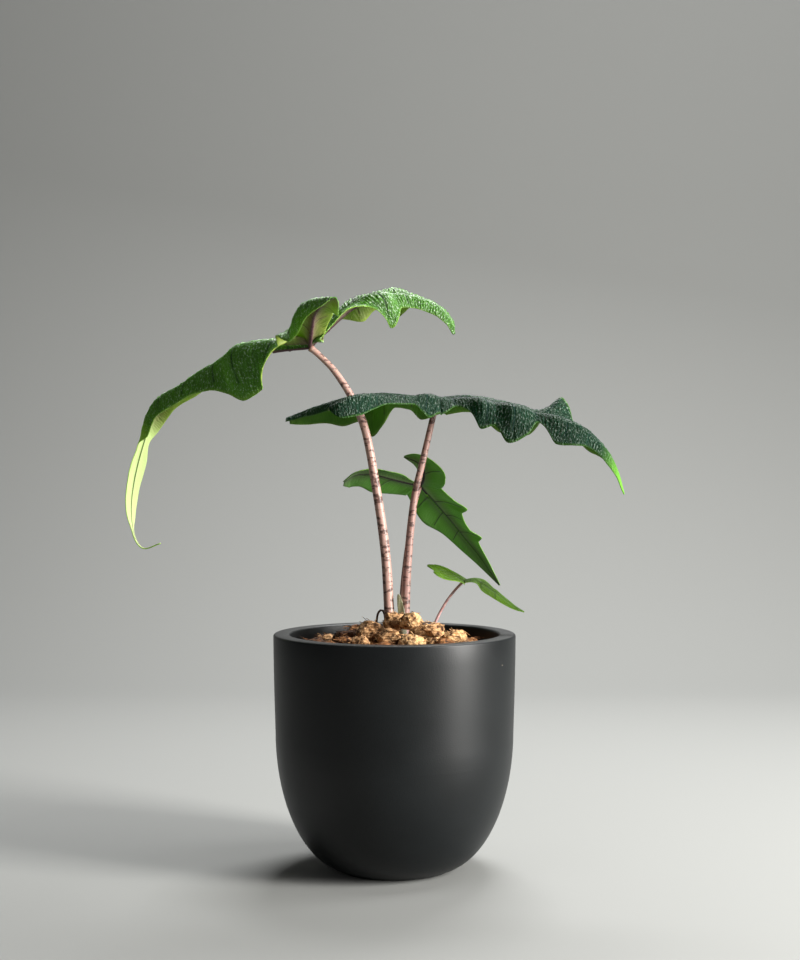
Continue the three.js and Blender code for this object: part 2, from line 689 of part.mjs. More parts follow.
// A chip comes down near its place, where it can lie lowest, until something stops it.
const AROUND = [0, 1, -1, CELLS, -CELLS, CELLS + 1, CELLS - 1, 1 - CELLS, -1 - CELLS];
function drop(mesh) {
  const lower = new Map();
  const upper = new Map();
  for (const face of trianglesOf(mesh)) {
    cellsUnder(face, (cell, z) => {
      if (!lower.has(cell) || z < lower.get(cell)) lower.set(cell, z);
      if (!upper.has(cell) || z > upper.get(cell)) upper.set(cell, z);
    });
  }
  let best = { score: Infinity };
  for (let iy = -8; iy <= 8; iy += 2) {
    for (let ix = -8; ix <= 8; ix += 2) {
      const shift = iy * CELLS + ix;
      let rest = -Infinity;
      for (const [cell, z] of lower) {
        for (const side of AROUND) rest = Math.max(rest, heap[cell + shift + side] - z);
      }
      const score = rest + 0.5 * CELL * Math.hypot(ix, iy);
      if (score < best.score) best = { score, rest: rest + GAP, ix, iy, shift };
    }
  }
  mesh.position.x += best.ix * CELL;
  mesh.position.y += best.iy * CELL;
  mesh.position.z += best.rest;
  for (const [cell, z] of upper) {
    heap[cell + best.shift] = Math.max(heap[cell + best.shift], z + best.rest);
  }
}

// Place across the bed, length, width, height, then turn about the upright and lean.
const chips = [
  [-35, -7, 13, 9, 6, 20, 6, 'dark'],
  [-33, 13, 12, 8, 6, 70, -8, 'dark'],
  [-27, -23, 12, 9, 6, -35, 8, 'brown'],
  [-22, -5, 14, 10, 7, 10, -12, 'dark'],
  [-17, 18, 13, 10, 7, 55, 10, 'brown'],
  [-15, -21, 11, 9, 7, 80, -10, 'tan'],
  [-13, -10, 13, 12, 12, 30, 10, 'tan'],
  [-4, -16, 11, 10, 9, -20, 14, 'tan'],
  [-5, -30, 11, 8, 6, 15, -6, 'brown'],
  [5, -23, 13, 10, 8, -10, 10, 'light'],
  [13, -12, 16, 12, 10, 25, -14, 'light'],
  [13, -31, 10, 8, 6, 60, 8, 'dark'],
  [22, -22, 12, 10, 7, -40, 10, 'brown'],
  [26, -7, 13, 10, 8, 15, -10, 'light'],
  [33, -15, 11, 9, 6, 75, 10, 'tan'],
  [35, 4, 10, 8, 6, 40, -8, 'brown'],
  [28, 17, 12, 9, 7, -25, 8, 'tan'],
  [12, 20, 13, 9, 8, 35, 12, 'brown'],
  [-2, 28, 13, 9, 7, -15, -8, 'tan'],
  [-9, 13, 12, 9, 8, 65, 10, 'light'],
  [19, 32, 11, 8, 6, 10, 8, 'dark'],
  [-23, 31, 10, 8, 6, -50, -6, 'dark'],
  [-4, -10, 12, 10, 10, 50, 18, 'tan'],
  [8, -15, 12, 9, 8, -35, -16, 'light'],
  [19, -2, 13, 9, 5, 20, 24, 'dark'],
  [-18, -14, 10, 8, 6, -15, 20, 'brown'],
  [-29, 4, 10, 8, 5, 35, 8, 'tan'],
  [-37, -17, 9, 7, 5, -60, -8, 'brown'],
  [-22, -32, 9, 7, 5, 20, 10, 'light'],
  [26, -29, 9, 7, 5, -15, -8, 'tan'],
  [38, -5, 9, 7, 5, 50, 8, 'dark'],
  [31, 27, 9, 7, 5, 10, -10, 'brown'],
  [-13, 27, 9, 7, 5, -70, 8, 'dark'],
  [17, -20, 10, 8, 6, 30, 16, 'tan'],
  [-31, 23, 9, 7, 5, 80, 8, 'tan'],
];
const chipPaint = {
  dark: paint('#4a2f20', 0.95),
  brown: paint('#7a4f30', 0.95),
  tan: paint('#b98756', 0.95),
  light: paint('#d3a974', 0.95),
};
const husks = new THREE.Group();
plant.add(husks);
chips.forEach(([x, y, length, width, height, turn, lean, tone], i) => {
  const number = String(i + 1).padStart(2, '0');
  const chip = add(`husk_chip_${number}`, husk(length, width, height), chipPaint[tone], husks);
  chip.position.set(x * POT_RADIUS / 55, y * POT_RADIUS / 55, 0);
  chip.rotation.set(lean * DEGREE, 0.6 * lean * DEGREE, turn * DEGREE);
  drop(chip);
});

export default plant;
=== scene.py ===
"""A small potted alocasia: glazed pot, coco husk mix, corm, four leaves on mottled stalks.

Metres, +Z up. The origin is the middle of the pot's flat base.
"""
import json
import math
import random

import bmesh
import bpy
import numpy as np
from mathutils import Matrix, Vector, kdtree, noise


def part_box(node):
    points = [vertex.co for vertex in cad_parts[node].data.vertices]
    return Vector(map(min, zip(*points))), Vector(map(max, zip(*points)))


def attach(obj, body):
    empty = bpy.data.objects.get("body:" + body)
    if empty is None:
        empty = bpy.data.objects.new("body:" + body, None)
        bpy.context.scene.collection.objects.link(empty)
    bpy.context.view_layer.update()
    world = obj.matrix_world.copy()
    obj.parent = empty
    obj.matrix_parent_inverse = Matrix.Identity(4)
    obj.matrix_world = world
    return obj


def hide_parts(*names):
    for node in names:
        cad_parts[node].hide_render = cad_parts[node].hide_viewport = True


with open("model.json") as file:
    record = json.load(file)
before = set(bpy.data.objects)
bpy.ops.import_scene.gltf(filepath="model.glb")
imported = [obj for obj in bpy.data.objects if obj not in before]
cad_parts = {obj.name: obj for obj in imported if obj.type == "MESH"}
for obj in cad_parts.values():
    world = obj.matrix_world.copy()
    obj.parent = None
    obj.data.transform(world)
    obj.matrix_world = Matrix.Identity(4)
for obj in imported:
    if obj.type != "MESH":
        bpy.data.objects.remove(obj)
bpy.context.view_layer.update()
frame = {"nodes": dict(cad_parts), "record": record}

MM = 0.001
draw = random.Random(7)

# ------------------------------------------------------------------ helpers


def linear(code):
    """An sRGB hex colour as linear red, green, blue and alpha."""
    parts = [int(code[i:i + 2], 16) / 255 for i in (1, 3, 5)]
    bent = [c / 12.92 if c <= 0.04045 else ((c + 0.055) / 1.055) ** 2.4 for c in parts]
    return (*bent, 1.0)


def add(tree, kind, links=None, **settings):
    """Adds a node with its settings. For each input, links holds a value, a hex colour,
    another node's output, or a node, which stands for its first output."""
    made = tree.nodes.new("ShaderNode" + kind)
    for name, value in settings.items():
        setattr(made, name, value)
    for name, value in (links or {}).items():
        socket = made.inputs[name]
        if isinstance(value, str):
            value = linear(value)
        elif isinstance(value, bpy.types.Node):
            value = value.outputs[0]
        if isinstance(value, bpy.types.NodeSocket):
            tree.links.new(value, socket)
        else:
            socket.default_value = value
    return made


def new_material(name):
    made = bpy.data.materials.new(name)
    made.use_nodes = True
    made.node_tree.nodes.clear()
    return made, made.node_tree


def finish_piece(bm, name, materials, slot, replaces=(), smooth=True):
    """Turns a bmesh in metres into a piece of the plant that rides on the root body."""
    mesh = bpy.data.meshes.new(name)
    bm.to_mesh(mesh)
    bm.free()
    for material in materials:
        mesh.materials.append(material)
    mesh.polygons.foreach_set("use_smooth", [smooth] * len(mesh.polygons))
    piece = bpy.data.objects.new(name, mesh)
    bpy.context.scene.collection.objects.link(piece)
    if replaces:
        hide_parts(*replaces)
    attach(piece, "root")
    return piece


def shaped_grid(bm, rows, columns, place):
    """A flat grid whose points are moved to place(i, j); returns its vertices."""
    made = bmesh.ops.create_grid(bm, x_segments=rows, y_segments=columns, size=0.5)["verts"]
    for vert in made:
        i = round((vert.co.x + 0.5) * rows)
        j = round((vert.co.y + 0.5) * columns)
        vert.co = place(i, j)
    return made


def smooth_step(value, low, high):
    s = min(max((value - low) / (high - low), 0.0), 1.0)
    return s * s * (3 - 2 * s)


def curve_through(points, steps):
    """Points at equal steps along a smooth curve, their directions and its length."""
    fixed = np.array(points, float)
    held = np.vstack([2 * fixed[0] - fixed[1], fixed, 2 * fixed[-1] - fixed[-2]])
    spans = len(fixed) - 1

    def at(u):
        i = min(int(u * spans), spans - 1)
        s = u * spans - i
        p0, p1, p2, p3 = held[i:i + 4]
        out, into = (p2 - p0) / 2, (p3 - p1) / 2
        bend = (2 * (p1 - p2) + out + into) * s ** 3
        return bend + (3 * (p2 - p1) - 2 * out - into) * s * s + out * s + p1

    us = np.linspace(0, 1, 401)
    spots = np.array([at(u) for u in us])
    length = np.concatenate([[0], np.cumsum(np.linalg.norm(np.diff(spots, axis=0), axis=1))])
    even = np.interp(np.linspace(0, length[-1], steps + 1), length, us)
    ways = np.array([at(min(u + 1e-3, 1)) - at(max(u - 1e-3, 0)) for u in even])
    ways /= np.linalg.norm(ways, axis=1)[:, None]
    return np.array([at(u) for u in even]), ways, length[-1]


def carried_normals(spots, ways, first):
    """Normals along a curve that turn as little as they can."""
    made = []
    for k, way in enumerate(ways):
        normal = first.copy()
        if k:
            step = spots[k] - spots[k - 1]
            turn = 2 / (step @ step)
            normal = made[-1] - turn * (step @ made[-1]) * step
            bent = ways[k - 1] - turn * (step @ ways[k - 1]) * step
            rest = way - bent
            if rest @ rest > 1e-12:
                normal = normal - 2 / (rest @ rest) * (rest @ normal) * rest
        normal = normal - (normal @ way) * way
        made.append(normal / np.linalg.norm(normal))
    return np.array(made)


# ------------------------------------------------------------------ materials


def pot_glaze():
    """Stoneware under a matt charcoal glaze, dipped and fired: a soft broad sheen with
    faint clouding, a throwing ring low on the side and a few pale specks."""
    made, tree = new_material("matt_charcoal_glaze_on_stoneware")
    spots = add(tree, "TexCoord").outputs["Object"]
    cloud = add(tree, "TexNoise", {"Vector": spots, "Scale": 38.0, "Detail": 4.0})
    grain = add(tree, "TexNoise", {"Vector": spots, "Scale": 1600.0, "Detail": 2.0})
    speck = add(tree, "TexVoronoi", {"Vector": spots, "Scale": 85.0})
    dot = add(tree, "MapRange", {
        "Value": speck.outputs["Distance"], "From Min": 0.035, "From Max": 0.02})
    rare = add(tree, "SeparateColor", {0: speck.outputs["Color"]})
    few = add(tree, "Math", {0: rare, 1: 0.94}, operation="GREATER_THAN")
    shown = add(tree, "Math", {0: dot, 1: few}, operation="MULTIPLY")
    base = add(tree, "Mix", {0: cloud, 6: "#07090a", 7: "#0e1214"}, data_type="RGBA")
    marked = add(tree, "Mix", {0: shown, 6: base.outputs[2], 7: "#7c7468"}, data_type="RGBA")
    rough = add(tree, "MapRange", {"Value": cloud, "From Min": 0.3, "From Max": 0.7,
        "To Min": 0.4, "To Max": 0.45})
    height = add(tree, "SeparateXYZ", {0: spots})
    ring_gap = add(tree, "Math", {
        0: height.outputs[2], 1: RING_HEIGHT * MM}, operation="SUBTRACT")
    ring_far = add(tree, "Math", {0: ring_gap}, operation="ABSOLUTE")
    ring = add(tree, "MapRange", {"Value": ring_far, "From Min": 0.0, "From Max": 0.0009,
        "To Min": 0.35, "To Max": 0.0})
    relief = add(tree, "Math", {0: ring, 1: grain}, operation="ADD")
    bump = add(tree, "Bump", {"Height": relief, "Strength": 0.12, "Distance": 0.0003})
    skin = add(tree, "BsdfPrincipled", {"Base Color": marked.outputs[2], "Roughness": rough,
        "Normal": bump, "IOR": 1.5, "Specular IOR Level": 0.3})
    add(tree, "OutputMaterial", {0: skin})
    return made


def leaf_skin(name, looks):
    """A living leaf's waxed skin. Ribs, ridges and margin follow the blade's own values:
    relief paints highlight on the ridges and shade in the grooves between the fine veins,
    white flecks on the ridge tops are painted glints, the tip's pale colour is brightened
    with painted backlight, and light passes through the blade."""
    made, tree = new_material(name)
    spots = add(tree, "TexCoord").outputs["Object"]
    read = {key: add(tree, "Attribute", attribute_name=key).outputs["Fac"]
        for key in (
            "relief", "midrib_gap", "lateral_gap", "share", "tail", "taper", "hand", "along",
            "across")
    }
    patch = add(tree, "TexNoise", {"Vector": spots, "Scale": 75.0, "Detail": 3.0})
    blotch = add(tree, "MapRange", {"Value": patch, "From Min": 0.36, "From Max": 0.64})
    down = add(tree, "Math", {0: read["along"], 1: 1.4}, operation="MULTIPLY")
    out = add(tree, "Math", {0: read["across"], 1: 0.8}, operation="MULTIPLY")
    skew = add(tree, "CombineXYZ", {0: down, 1: out, 2: read["hand"]})
    fleck = add(tree, "TexNoise", {
        "Vector": skew, "Scale": 1.0, "Detail": 3.0, "Roughness": 0.6})
    # Painted highlight and shade: the relief makes the ridges lighter and the grooves darker,
    # mixed with the leaf's own mottled patches.
    grit = add(tree, "Math", {0: fleck, 1: 3.2, 2: -1.6}, operation="MULTIPLY_ADD")
    rough_top = add(tree, "Math", {0: read["relief"], 1: grit}, operation="ADD")
    ridge_light = add(tree, "MapRange", {"Value": rough_top, "From Min": -0.9, "From Max": 1.0})
    lift = add(tree, "Mix", {0: looks["ridge_share"], 2: blotch, 3: ridge_light})
    green = add(tree, "Mix", {0: lift, 6: looks["deep"], 7: looks["bright"]}, data_type="RGBA")
    # Painted glints: pale flecks mixed into the colour on the raised ridge tops stand for light
    # glinting off the leaf.
    high = add(tree, "MapRange", {"Value": fleck, "From Min": 0.55, "From Max": 0.62,
        "To Max": looks["bristle_share"]})
    glint_spots = add(tree, "Math", {0: high, 1: ridge_light}, operation="MULTIPLY")
    glinted = add(tree, "Mix", {0: glint_spots, 6: green.outputs[2], 7: "#dcead2"}, data_type="RGBA")
    # Partly painted backlight: toward the tip the colour goes to the tail colour, the tip's
    # paler green brightened to stand for light shining through it.
    young = add(tree, "Mix", {0: read["tail"], 6: glinted.outputs[2], 7: looks["tail"]},
        data_type="RGBA")
    rim = add(tree, "MapRange", {"Value": read["share"], "From Min": 0.93, "From Max": 0.995,
        "To Max": looks["margin_share"]})
    edged = add(tree, "Mix", {
        0: rim, 6: young.outputs[2], 7: looks["margin"]}, data_type="RGBA")
    halo_wide = add(tree, "MapRange", {
        "Value": read["midrib_gap"], "From Min": looks["halo"], "From Max": 0.4,
        "To Max": looks["halo_share"]}, interpolation_type="SMOOTHSTEP")
    before_tail = add(tree, "Math", {0: 1.0, 1: read["tail"]}, operation="SUBTRACT")
    halo = add(tree, "Math", {0: halo_wide, 1: before_tail}, operation="MULTIPLY")
    haloed = add(tree, "Mix", {0: halo, 6: edged.outputs[2], 7: looks["halo_colour"]},
        data_type="RGBA")
    thin = add(tree, "Math", {0: read["taper"], 1: looks["rib"]}, operation="MULTIPLY")
    inner = add(tree, "Math", {0: thin, 1: 0.35}, operation="MULTIPLY")
    rib = add(tree, "MapRange", {"Value": read["midrib_gap"], "From Min": thin,
        "From Max": inner})
    thin_side = add(tree, "Math", {
        0: read["taper"], 1: looks["side_rib"]}, operation="MULTIPLY")
    side_rib = add(tree, "MapRange", {
        "Value": read["lateral_gap"], "From Min": thin_side, "From Max": 0.05,
        "To Max": looks["side_rib_share"]})
    both = add(tree, "Math", {0: rib, 1: side_rib}, operation="MAXIMUM")
    veined = add(tree, "Mix", {
        0: both, 6: haloed.outputs[2], 7: looks["vein"]}, data_type="RGBA")
    lit = add(tree, "Mix", {0: halo, 6: looks["glow"], 7: looks["halo_colour"]},
        data_type="RGBA")
    glow = add(tree, "Mix", {0: both, 6: lit.outputs[2], 7: looks["vein"]}, data_type="RGBA")
    glow_tail = add(tree, "Mix", {
        0: read["tail"], 6: glow.outputs[2], 7: looks["tail"]}, data_type="RGBA")
    bump = add(tree, "Bump", {"Height": fleck, "Strength": looks["bump"], "Distance": 0.0012})
    rough = add(tree, "MapRange", {"Value": fleck, "From Min": 0.3, "From Max": 0.7,
        "To Min": looks["rough"] - 0.06, "To Max": looks["rough"] + 0.08})
    skin = add(tree, "BsdfPrincipled", {"Base Color": veined.outputs[2], "Roughness": rough,
        "Normal": bump, "IOR": 1.45, "Specular IOR Level": looks["gloss"]})
    through = add(tree, "BsdfTranslucent", {"Color": glow_tail.outputs[2]})
    whole = add(tree, "MixShader", {0: looks["through"], 1: skin, 2: through})
    add(tree, "OutputMaterial", {0: whole})
    return made


def stalk_skin(name, pale, blush, bar, bar_share):
    """A smooth living stalk, pink-beige, with broken dark bars across it every 3 to 4 mm
    and a soft wax gloss."""
    made, tree = new_material(name)
    spots = add(tree, "TexCoord").outputs["Object"]
    wide = add(tree, "Mapping", {"Vector": spots, "Scale": (230, 230, 620)})
    streak = add(tree, "TexNoise", {
        "Vector": wide, "Scale": 1.0, "Detail": 3.0, "Roughness": 0.6})
    bars = add(tree, "MapRange", {"Value": streak, "From Min": 0.535, "From Max": 0.6,
        "To Max": bar_share})
    tall = add(tree, "Mapping", {"Vector": spots, "Scale": (1500, 1500, 90)})
    grain = add(tree, "TexNoise", {"Vector": tall, "Scale": 1.0, "Detail": 2.0})
    body = add(tree, "Mix", {0: grain, 6: blush, 7: pale}, data_type="RGBA")
    barred = add(tree, "Mix", {0: bars, 6: body.outputs[2], 7: bar}, data_type="RGBA")
    bump = add(tree, "Bump", {"Height": grain, "Strength": 0.25, "Distance": 0.0002})
    skin = add(tree, "BsdfPrincipled", {
        "Base Color": barred.outputs[2], "Roughness": 0.42, "Normal": bump,
        "IOR": 1.45, "Subsurface Weight": 0.15, "Subsurface Scale": 0.001})
    add(tree, "OutputMaterial", {0: skin})
    return made


def husk_fibre(name, deep, body, pale):
    """Dried coco husk, chopped and torn: a corky pith with pale strands and dark pits."""
    made, tree = new_material(name)
    spots = add(tree, "TexCoord").outputs["Object"]
    pith = add(tree, "TexNoise", {
        "Vector": spots, "Scale": 420.0, "Detail": 4.0, "Roughness": 0.65})
    strand_map = add(tree, "Mapping", {
        "Vector": spots, "Rotation": (0.5, 0.3, 0.7), "Scale": (350, 1900, 1900)})
    strand = add(tree, "TexNoise", {
        "Vector": strand_map, "Scale": 1.0, "Detail": 3.0, "Roughness": 0.6})
    torn = add(tree, "MapRange", {"Value": strand, "From Min": 0.4, "From Max": 0.66})
    pit = add(tree, "MapRange", {"Value": pith, "From Min": 0.53, "From Max": 0.39})
    light = add(tree, "Mix", {0: torn, 6: body, 7: pale}, data_type="RGBA")
    dark = add(tree, "Mix", {0: pit, 6: light.outputs[2], 7: deep}, data_type="RGBA")
    depth = add(tree, "Math", {0: strand, 1: pith}, operation="ADD")
    bump = add(tree, "Bump", {"Height": depth, "Strength": 0.8, "Distance": 0.001})
    skin = add(tree, "BsdfPrincipled", {
        "Base Color": dark.outputs[2], "Roughness": 0.92, "Normal": bump,
        "Specular IOR Level": 0.25})
    add(tree, "OutputMaterial", {0: skin})
    return made


def crumb_mix():
    """Crumbled coir and bark: each crumb takes its own tone, from near black to straw."""
    made, tree = new_material("crumbled_coir_and_bark")
    spots = add(tree, "TexCoord").outputs["Object"]
    tone = add(tree, "Attribute", attribute_name="tone").outputs["Fac"]
    fine = add(tree, "TexNoise", {"Vector": spots, "Scale": 700.0, "Detail": 4.0})
    low = add(tree, "MapRange", {"Value": tone, "From Max": 0.5})
    high = add(tree, "MapRange", {"Value": tone, "From Min": 0.5})
    brown = add(tree, "Mix", {0: low, 6: "#1a0f08", 7: "#6b4225"}, data_type="RGBA")
    straw = add(tree, "Mix", {0: high, 6: brown.outputs[2], 7: "#d8ab74"}, data_type="RGBA")
    mottled = add(tree, "Mix", {0: fine, 6: straw.outputs[2], 7: "#2e1a0e"},
        data_type="RGBA", blend_type="MULTIPLY")
    faded = add(tree, "Mix", {
        0: 0.6, 6: mottled.outputs[2], 7: straw.outputs[2]}, data_type="RGBA")
    bump = add(tree, "Bump", {"Height": fine, "Strength": 0.6, "Distance": 0.0005})
    skin = add(tree, "BsdfPrincipled", {
        "Base Color": faded.outputs[2], "Roughness": 0.95, "Normal": bump,
        "Specular IOR Level": 0.2})
    add(tree, "OutputMaterial", {0: skin})
    return made


def dry_skin(name, body, streak_colour, through):
    """A dried plant skin, papery and ribbed along its length."""
    made, tree = new_material(name)
    spots = add(tree, "TexCoord").outputs["Object"]
    tall = add(tree, "Mapping", {"Vector": spots, "Scale": (1800, 1800, 160)})
    grain = add(tree, "TexNoise", {"Vector": tall, "Scale": 1.0, "Detail": 3.0})
    streak = add(tree, "MapRange", {"Value": grain, "From Min": 0.42, "From Max": 0.62})
    colour = add(tree, "Mix", {0: streak, 6: body, 7: streak_colour}, data_type="RGBA")
    bump = add(tree, "Bump", {"Height": grain, "Strength": 0.5, "Distance": 0.0003})
    skin = add(tree, "BsdfPrincipled", {
        "Base Color": colour.outputs[2], "Roughness": 0.7, "Normal": bump})
    light = add(tree, "BsdfTranslucent", {"Color": colour.outputs[2]})
    whole = add(tree, "MixShader", {0: through, 1: skin, 2: light})
    add(tree, "OutputMaterial", {0: whole})
    return made


# ------------------------------------------------------------------ pot

POT_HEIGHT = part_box("pot")[1].z / MM
POT_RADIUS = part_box("pot")[1].x / MM
POT_WALL = 7.0
RING_HEIGHT = 51.4
SHOULDER = (POT_RADIUS - 1, 62.0)
FOOT_RADIUS = 26.0
BOWL_FLAT = 22.0
RIM_INNER = POT_RADIUS - POT_WALL - 0.4


def bowl(inset, floor, steps):
    """A quarter of an oval from the flat floor out to the shoulder."""
    side = SHOULDER[0] - BOWL_FLAT - inset
    rise = SHOULDER[1] - floor
    turns = [math.radians(90 * i / steps) for i in range(steps + 1)]
    return [(BOWL_FLAT + side * math.sin(a), SHOULDER[1] - rise * math.cos(a)) for a in turns]


def round_corner(middle, radius, start, end, steps):
    turns = [math.radians(start + (end - start) * i / steps) for i in range(steps + 1)]
    return [(middle[0] + radius * math.cos(a), middle[1] + radius * math.sin(a)) for a in turns]


def spun(profile, steps):
    """A closed turned body from a profile in mm that starts and ends on the axis."""
    bm = bmesh.new()
    verts = [bm.verts.new((r * MM, 0, z * MM)) for r, z in profile]
    edges = [bm.edges.new(pair) for pair in zip(verts, verts[1:])]
    bmesh.ops.spin(
        bm, geom=verts + edges, cent=(0, 0, 0), axis=(0, 0, 1), dvec=(0, 0, 0),
        angle=math.tau, steps=steps, use_merge=True)
    bmesh.ops.remove_doubles(bm, verts=bm.verts[:], dist=1e-6)
    bmesh.ops.recalc_face_normals(bm, faces=bm.faces[:])
    return bm


def make_pot():
    """One turned shell: the outside, a rolled rim and the inside wall in one profile."""
    outside = [p for p in bowl(0, 0, 44) if p[0] > FOOT_RADIUS + 0.6]
    inside = bowl(POT_WALL, POT_WALL, 16)[::-1]
    lip = 0.95
    profile = [(0, 0), (12, 0), (FOOT_RADIUS - 0.4, 0), (FOOT_RADIUS, 0.12)]
    profile += outside
    profile += [(POT_RADIUS - 0.62, 74), (POT_RADIUS - 0.3, 86), (POT_RADIUS - 0.08, 97)]
    profile += round_corner((POT_RADIUS - lip, POT_HEIGHT - lip), lip, 0, 90, 6)
    profile += round_corner((RIM_INNER + lip, POT_HEIGHT - lip), lip, 90, 180, 6)
    profile += [(RIM_INNER - 0.1, 96), (RIM_INNER - 0.2, 84)]
    profile += inside + [(0, POT_WALL)]
    return finish_piece(
        spun(profile, 160), "pot_body", [pot_glaze()], "pot_glaze", ["pot"])


# ------------------------------------------------------------------ potting mix

# The bed's surface: distance from the axis and height, in mm.
BED = [(0, 101.6), (19.8, 100.8), (35.75, 97.8), (46, 96.5)]
BED_RADIUS = 47.0
BED_RINGS = 40
BED_EDGE = 95.5
CRUMBS, CRUMB_REACH = 900, 45.2
FIBRES, FIBRE_REACH = 330, 44
CHIP_CUTS = 8


def bed_height(radius):
    return float(np.interp(radius, [r for r, _ in BED], [z for _, z in BED]))


def make_bed(material):
    """The body of the mix: level at the wall, a little heaped in the middle, and lumpy."""
    rings = [BED_RADIUS * k / BED_RINGS for k in range(1, BED_RINGS + 1)]
    profile = [(0, POT_WALL + 0.3)] + bowl(POT_WALL + 0.3, POT_WALL + 0.3, 12)
    profile += [(RIM_INNER - 0.5, 85), (RIM_INNER - 0.5, 95)]
    profile += [(r, bed_height(r)) for r in rings[::-1]] + [(0, BED[0][1])]
    bm = spun(profile, 150)
    tone = bm.verts.layers.float.new("tone")
    for vert in bm.verts:
        if vert.co.z > BED_EDGE * MM:
            lump = noise.fractal(vert.co * 190, 1.0, 2.0, 4)
            vert.co.z += 1.5 * MM * lump - 0.4 * MM
            vert[tone] = 0.22 + 0.25 * noise.noise(vert.co * 420)
    return finish_piece(bm, "mix_bed", [material], "fine_mix", ["potting_mix"])


def strand(bm, start, way, length, radius, sides, droop, tone_layer=None, tone=0.5):
    """One bent fibre with pointed ends, closed all round."""
    side = way.cross(Vector((0.3, 0.2, 1.0))).normalized()
    over = way.cross(side).normalized()
    curl = draw.uniform(-1, 1)
    rows = 5

    def place(i, j):
        u = i / rows
        thick = radius * (0.25 + 0.75 * math.sin(math.pi * (0.08 + 0.84 * u)))
        turn = math.tau * j / sides
        bend = side * (curl * length * 0.25 * u * u) - Vector((0, 0, droop * length * u * u))
        round_ = side * math.cos(turn) + over * math.sin(turn)
        return start + way * (length * u) + bend + round_ * thick

    made = shaped_grid(bm, rows, sides, place)
    bmesh.ops.remove_doubles(bm, verts=made, dist=1e-7)
    made = [v for v in made if v.is_valid]
    rim = {e for v in made for e in v.link_edges if e.is_boundary}
    bmesh.ops.holes_fill(bm, edges=list(rim), sides=0)
    if tone_layer is not None:
        for vert in made:
            vert[tone_layer] = tone


def make_crumbs(material):
    """Loose crumbs and short fibres that fill the bed between the chips."""
    bm = bmesh.new()
    tone = bm.verts.layers.float.new("tone")
    for _ in range(CRUMBS):
        far = CRUMB_REACH * math.sqrt(draw.random())
        turn = draw.uniform(0, math.tau)
        size = draw.uniform(0.6, 1.9) * MM
        x, y = far * math.cos(turn) * MM, far * math.sin(turn) * MM
        z = bed_height(far) * MM + size * draw.uniform(0.0, 0.8)
        made = bmesh.ops.create_icosphere(bm, subdivisions=1, radius=1.0)["verts"]
        spin = Matrix.Rotation(draw.uniform(0, math.tau), 3, Vector((
            draw.uniform(-1, 1), draw.uniform(-1, 1), draw.uniform(0.1, 1))).normalized())
        shape = Vector((draw.uniform(0.9, 1.9), draw.uniform(0.7, 1.1), draw.uniform(0.5, 0.9)))
        shade = min(max(draw.gauss(0.42, 0.2), 0.02), 1)
        for vert in made:
            rough = draw.uniform(0.72, 1.15)
            vert.co = spin @ (Vector(a * b for a, b in zip(vert.co, shape)) * size * rough)
            vert.co += Vector((x, y, z))
            vert[tone] = shade
    for _ in range(FIBRES):
        far = FIBRE_REACH * math.sqrt(draw.random())
        turn = draw.uniform(0, math.tau)
        height = (bed_height(far) + draw.uniform(0.6, 2.2)) * MM
        start = Vector((far * math.cos(turn) * MM, far * math.sin(turn) * MM, height))
        way = Vector((draw.uniform(-1, 1), draw.uniform(-1, 1), draw.uniform(-0.1, 0.55)))
        strand(
            bm, start, way.normalized(), draw.uniform(3, 8) * MM,
            draw.uniform(0.1, 0.24) * MM, 3, draw.uniform(0.0, 0.3), tone,
            draw.choice((0.25, 0.45, 0.6, 0.85, 0.95)))
    return finish_piece(bm, "mix_crumbs", [material], "fine_mix", smooth=False)


def make_chip(number, tone, materials):
    """A torn husk chunk: its CAD block cut to facets and roughened, with loose strands."""
    node = f"husk_chip_{number:02d}"
    low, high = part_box(node)
    middle, size = (low + high) / 2, high - low
    bm = bmesh.new()
    bm.from_mesh(frame["nodes"][node].data)
    bmesh.ops.remove_doubles(bm, verts=bm.verts[:], dist=1e-6)
    for _ in range(CHIP_CUTS):
        way = Vector((draw.uniform(-1, 1), draw.uniform(-1, 1), draw.uniform(-0.4, 1)))
        way.normalize()
        reach = Vector(a * b for a, b in zip(way, size)).length
        parts = bm.verts[:] + bm.edges[:] + bm.faces[:]
        bmesh.ops.bisect_plane(
            bm, geom=parts, plane_co=middle + way * reach * draw.uniform(0.38, 0.46),
            plane_no=way, clear_outer=True)
        open_edges = [e for e in bm.edges if e.is_boundary]
        bmesh.ops.holes_fill(bm, edges=open_edges, sides=0)
    bmesh.ops.triangulate(bm, faces=bm.faces[:])
    bmesh.ops.subdivide_edges(bm, edges=bm.edges[:], cuts=3, use_grid_fill=True)
    bm.normal_update()
    shift = Vector((number * 0.37, number * 0.11, 0))
    spin = Matrix.Rotation(number * 2.4, 3, Vector((0.2, 0.1, 1)).normalized())
    for vert in bm.verts:
        local = spin @ (vert.co - middle)
        stretched = Vector((local.x * 130, local.y * 520, local.z * 520)) + shift
        chunk = noise.fractal(stretched, 0.9, 2.1, 3)
        facet = noise.voronoi(local * 260 + shift)[0]
        vert.co += vert.normal * (0.45 * chunk + 0.5 * (facet[1] - facet[0]) - 0.1) * MM
    along = spin.inverted() @ Vector((1, 0, 0))
    roots = [v for v in bm.verts if v.co.z > middle.z - 0.15 * size.z]
    for _ in range(16 if tone == "dark" else 30):
        root = draw.choice(roots)
        lean = root.normal * draw.uniform(0.05, 0.7)
        way = (along * draw.choice((-1, 1)) + lean).normalized()
        strand(
            bm, root.co - way * 0.8 * MM, way, draw.uniform(2, 5.5) * MM,
            draw.uniform(0.12, 0.26) * MM, 3, draw.uniform(0, 0.35))
    bmesh.ops.recalc_face_normals(bm, faces=bm.faces[:])
    return finish_piece(
        bm, f"husk_chunk_{number:02d}", [materials[tone]], f"husk_{tone}", [node],
        smooth=False)


# ------------------------------------------------------------------ stalks


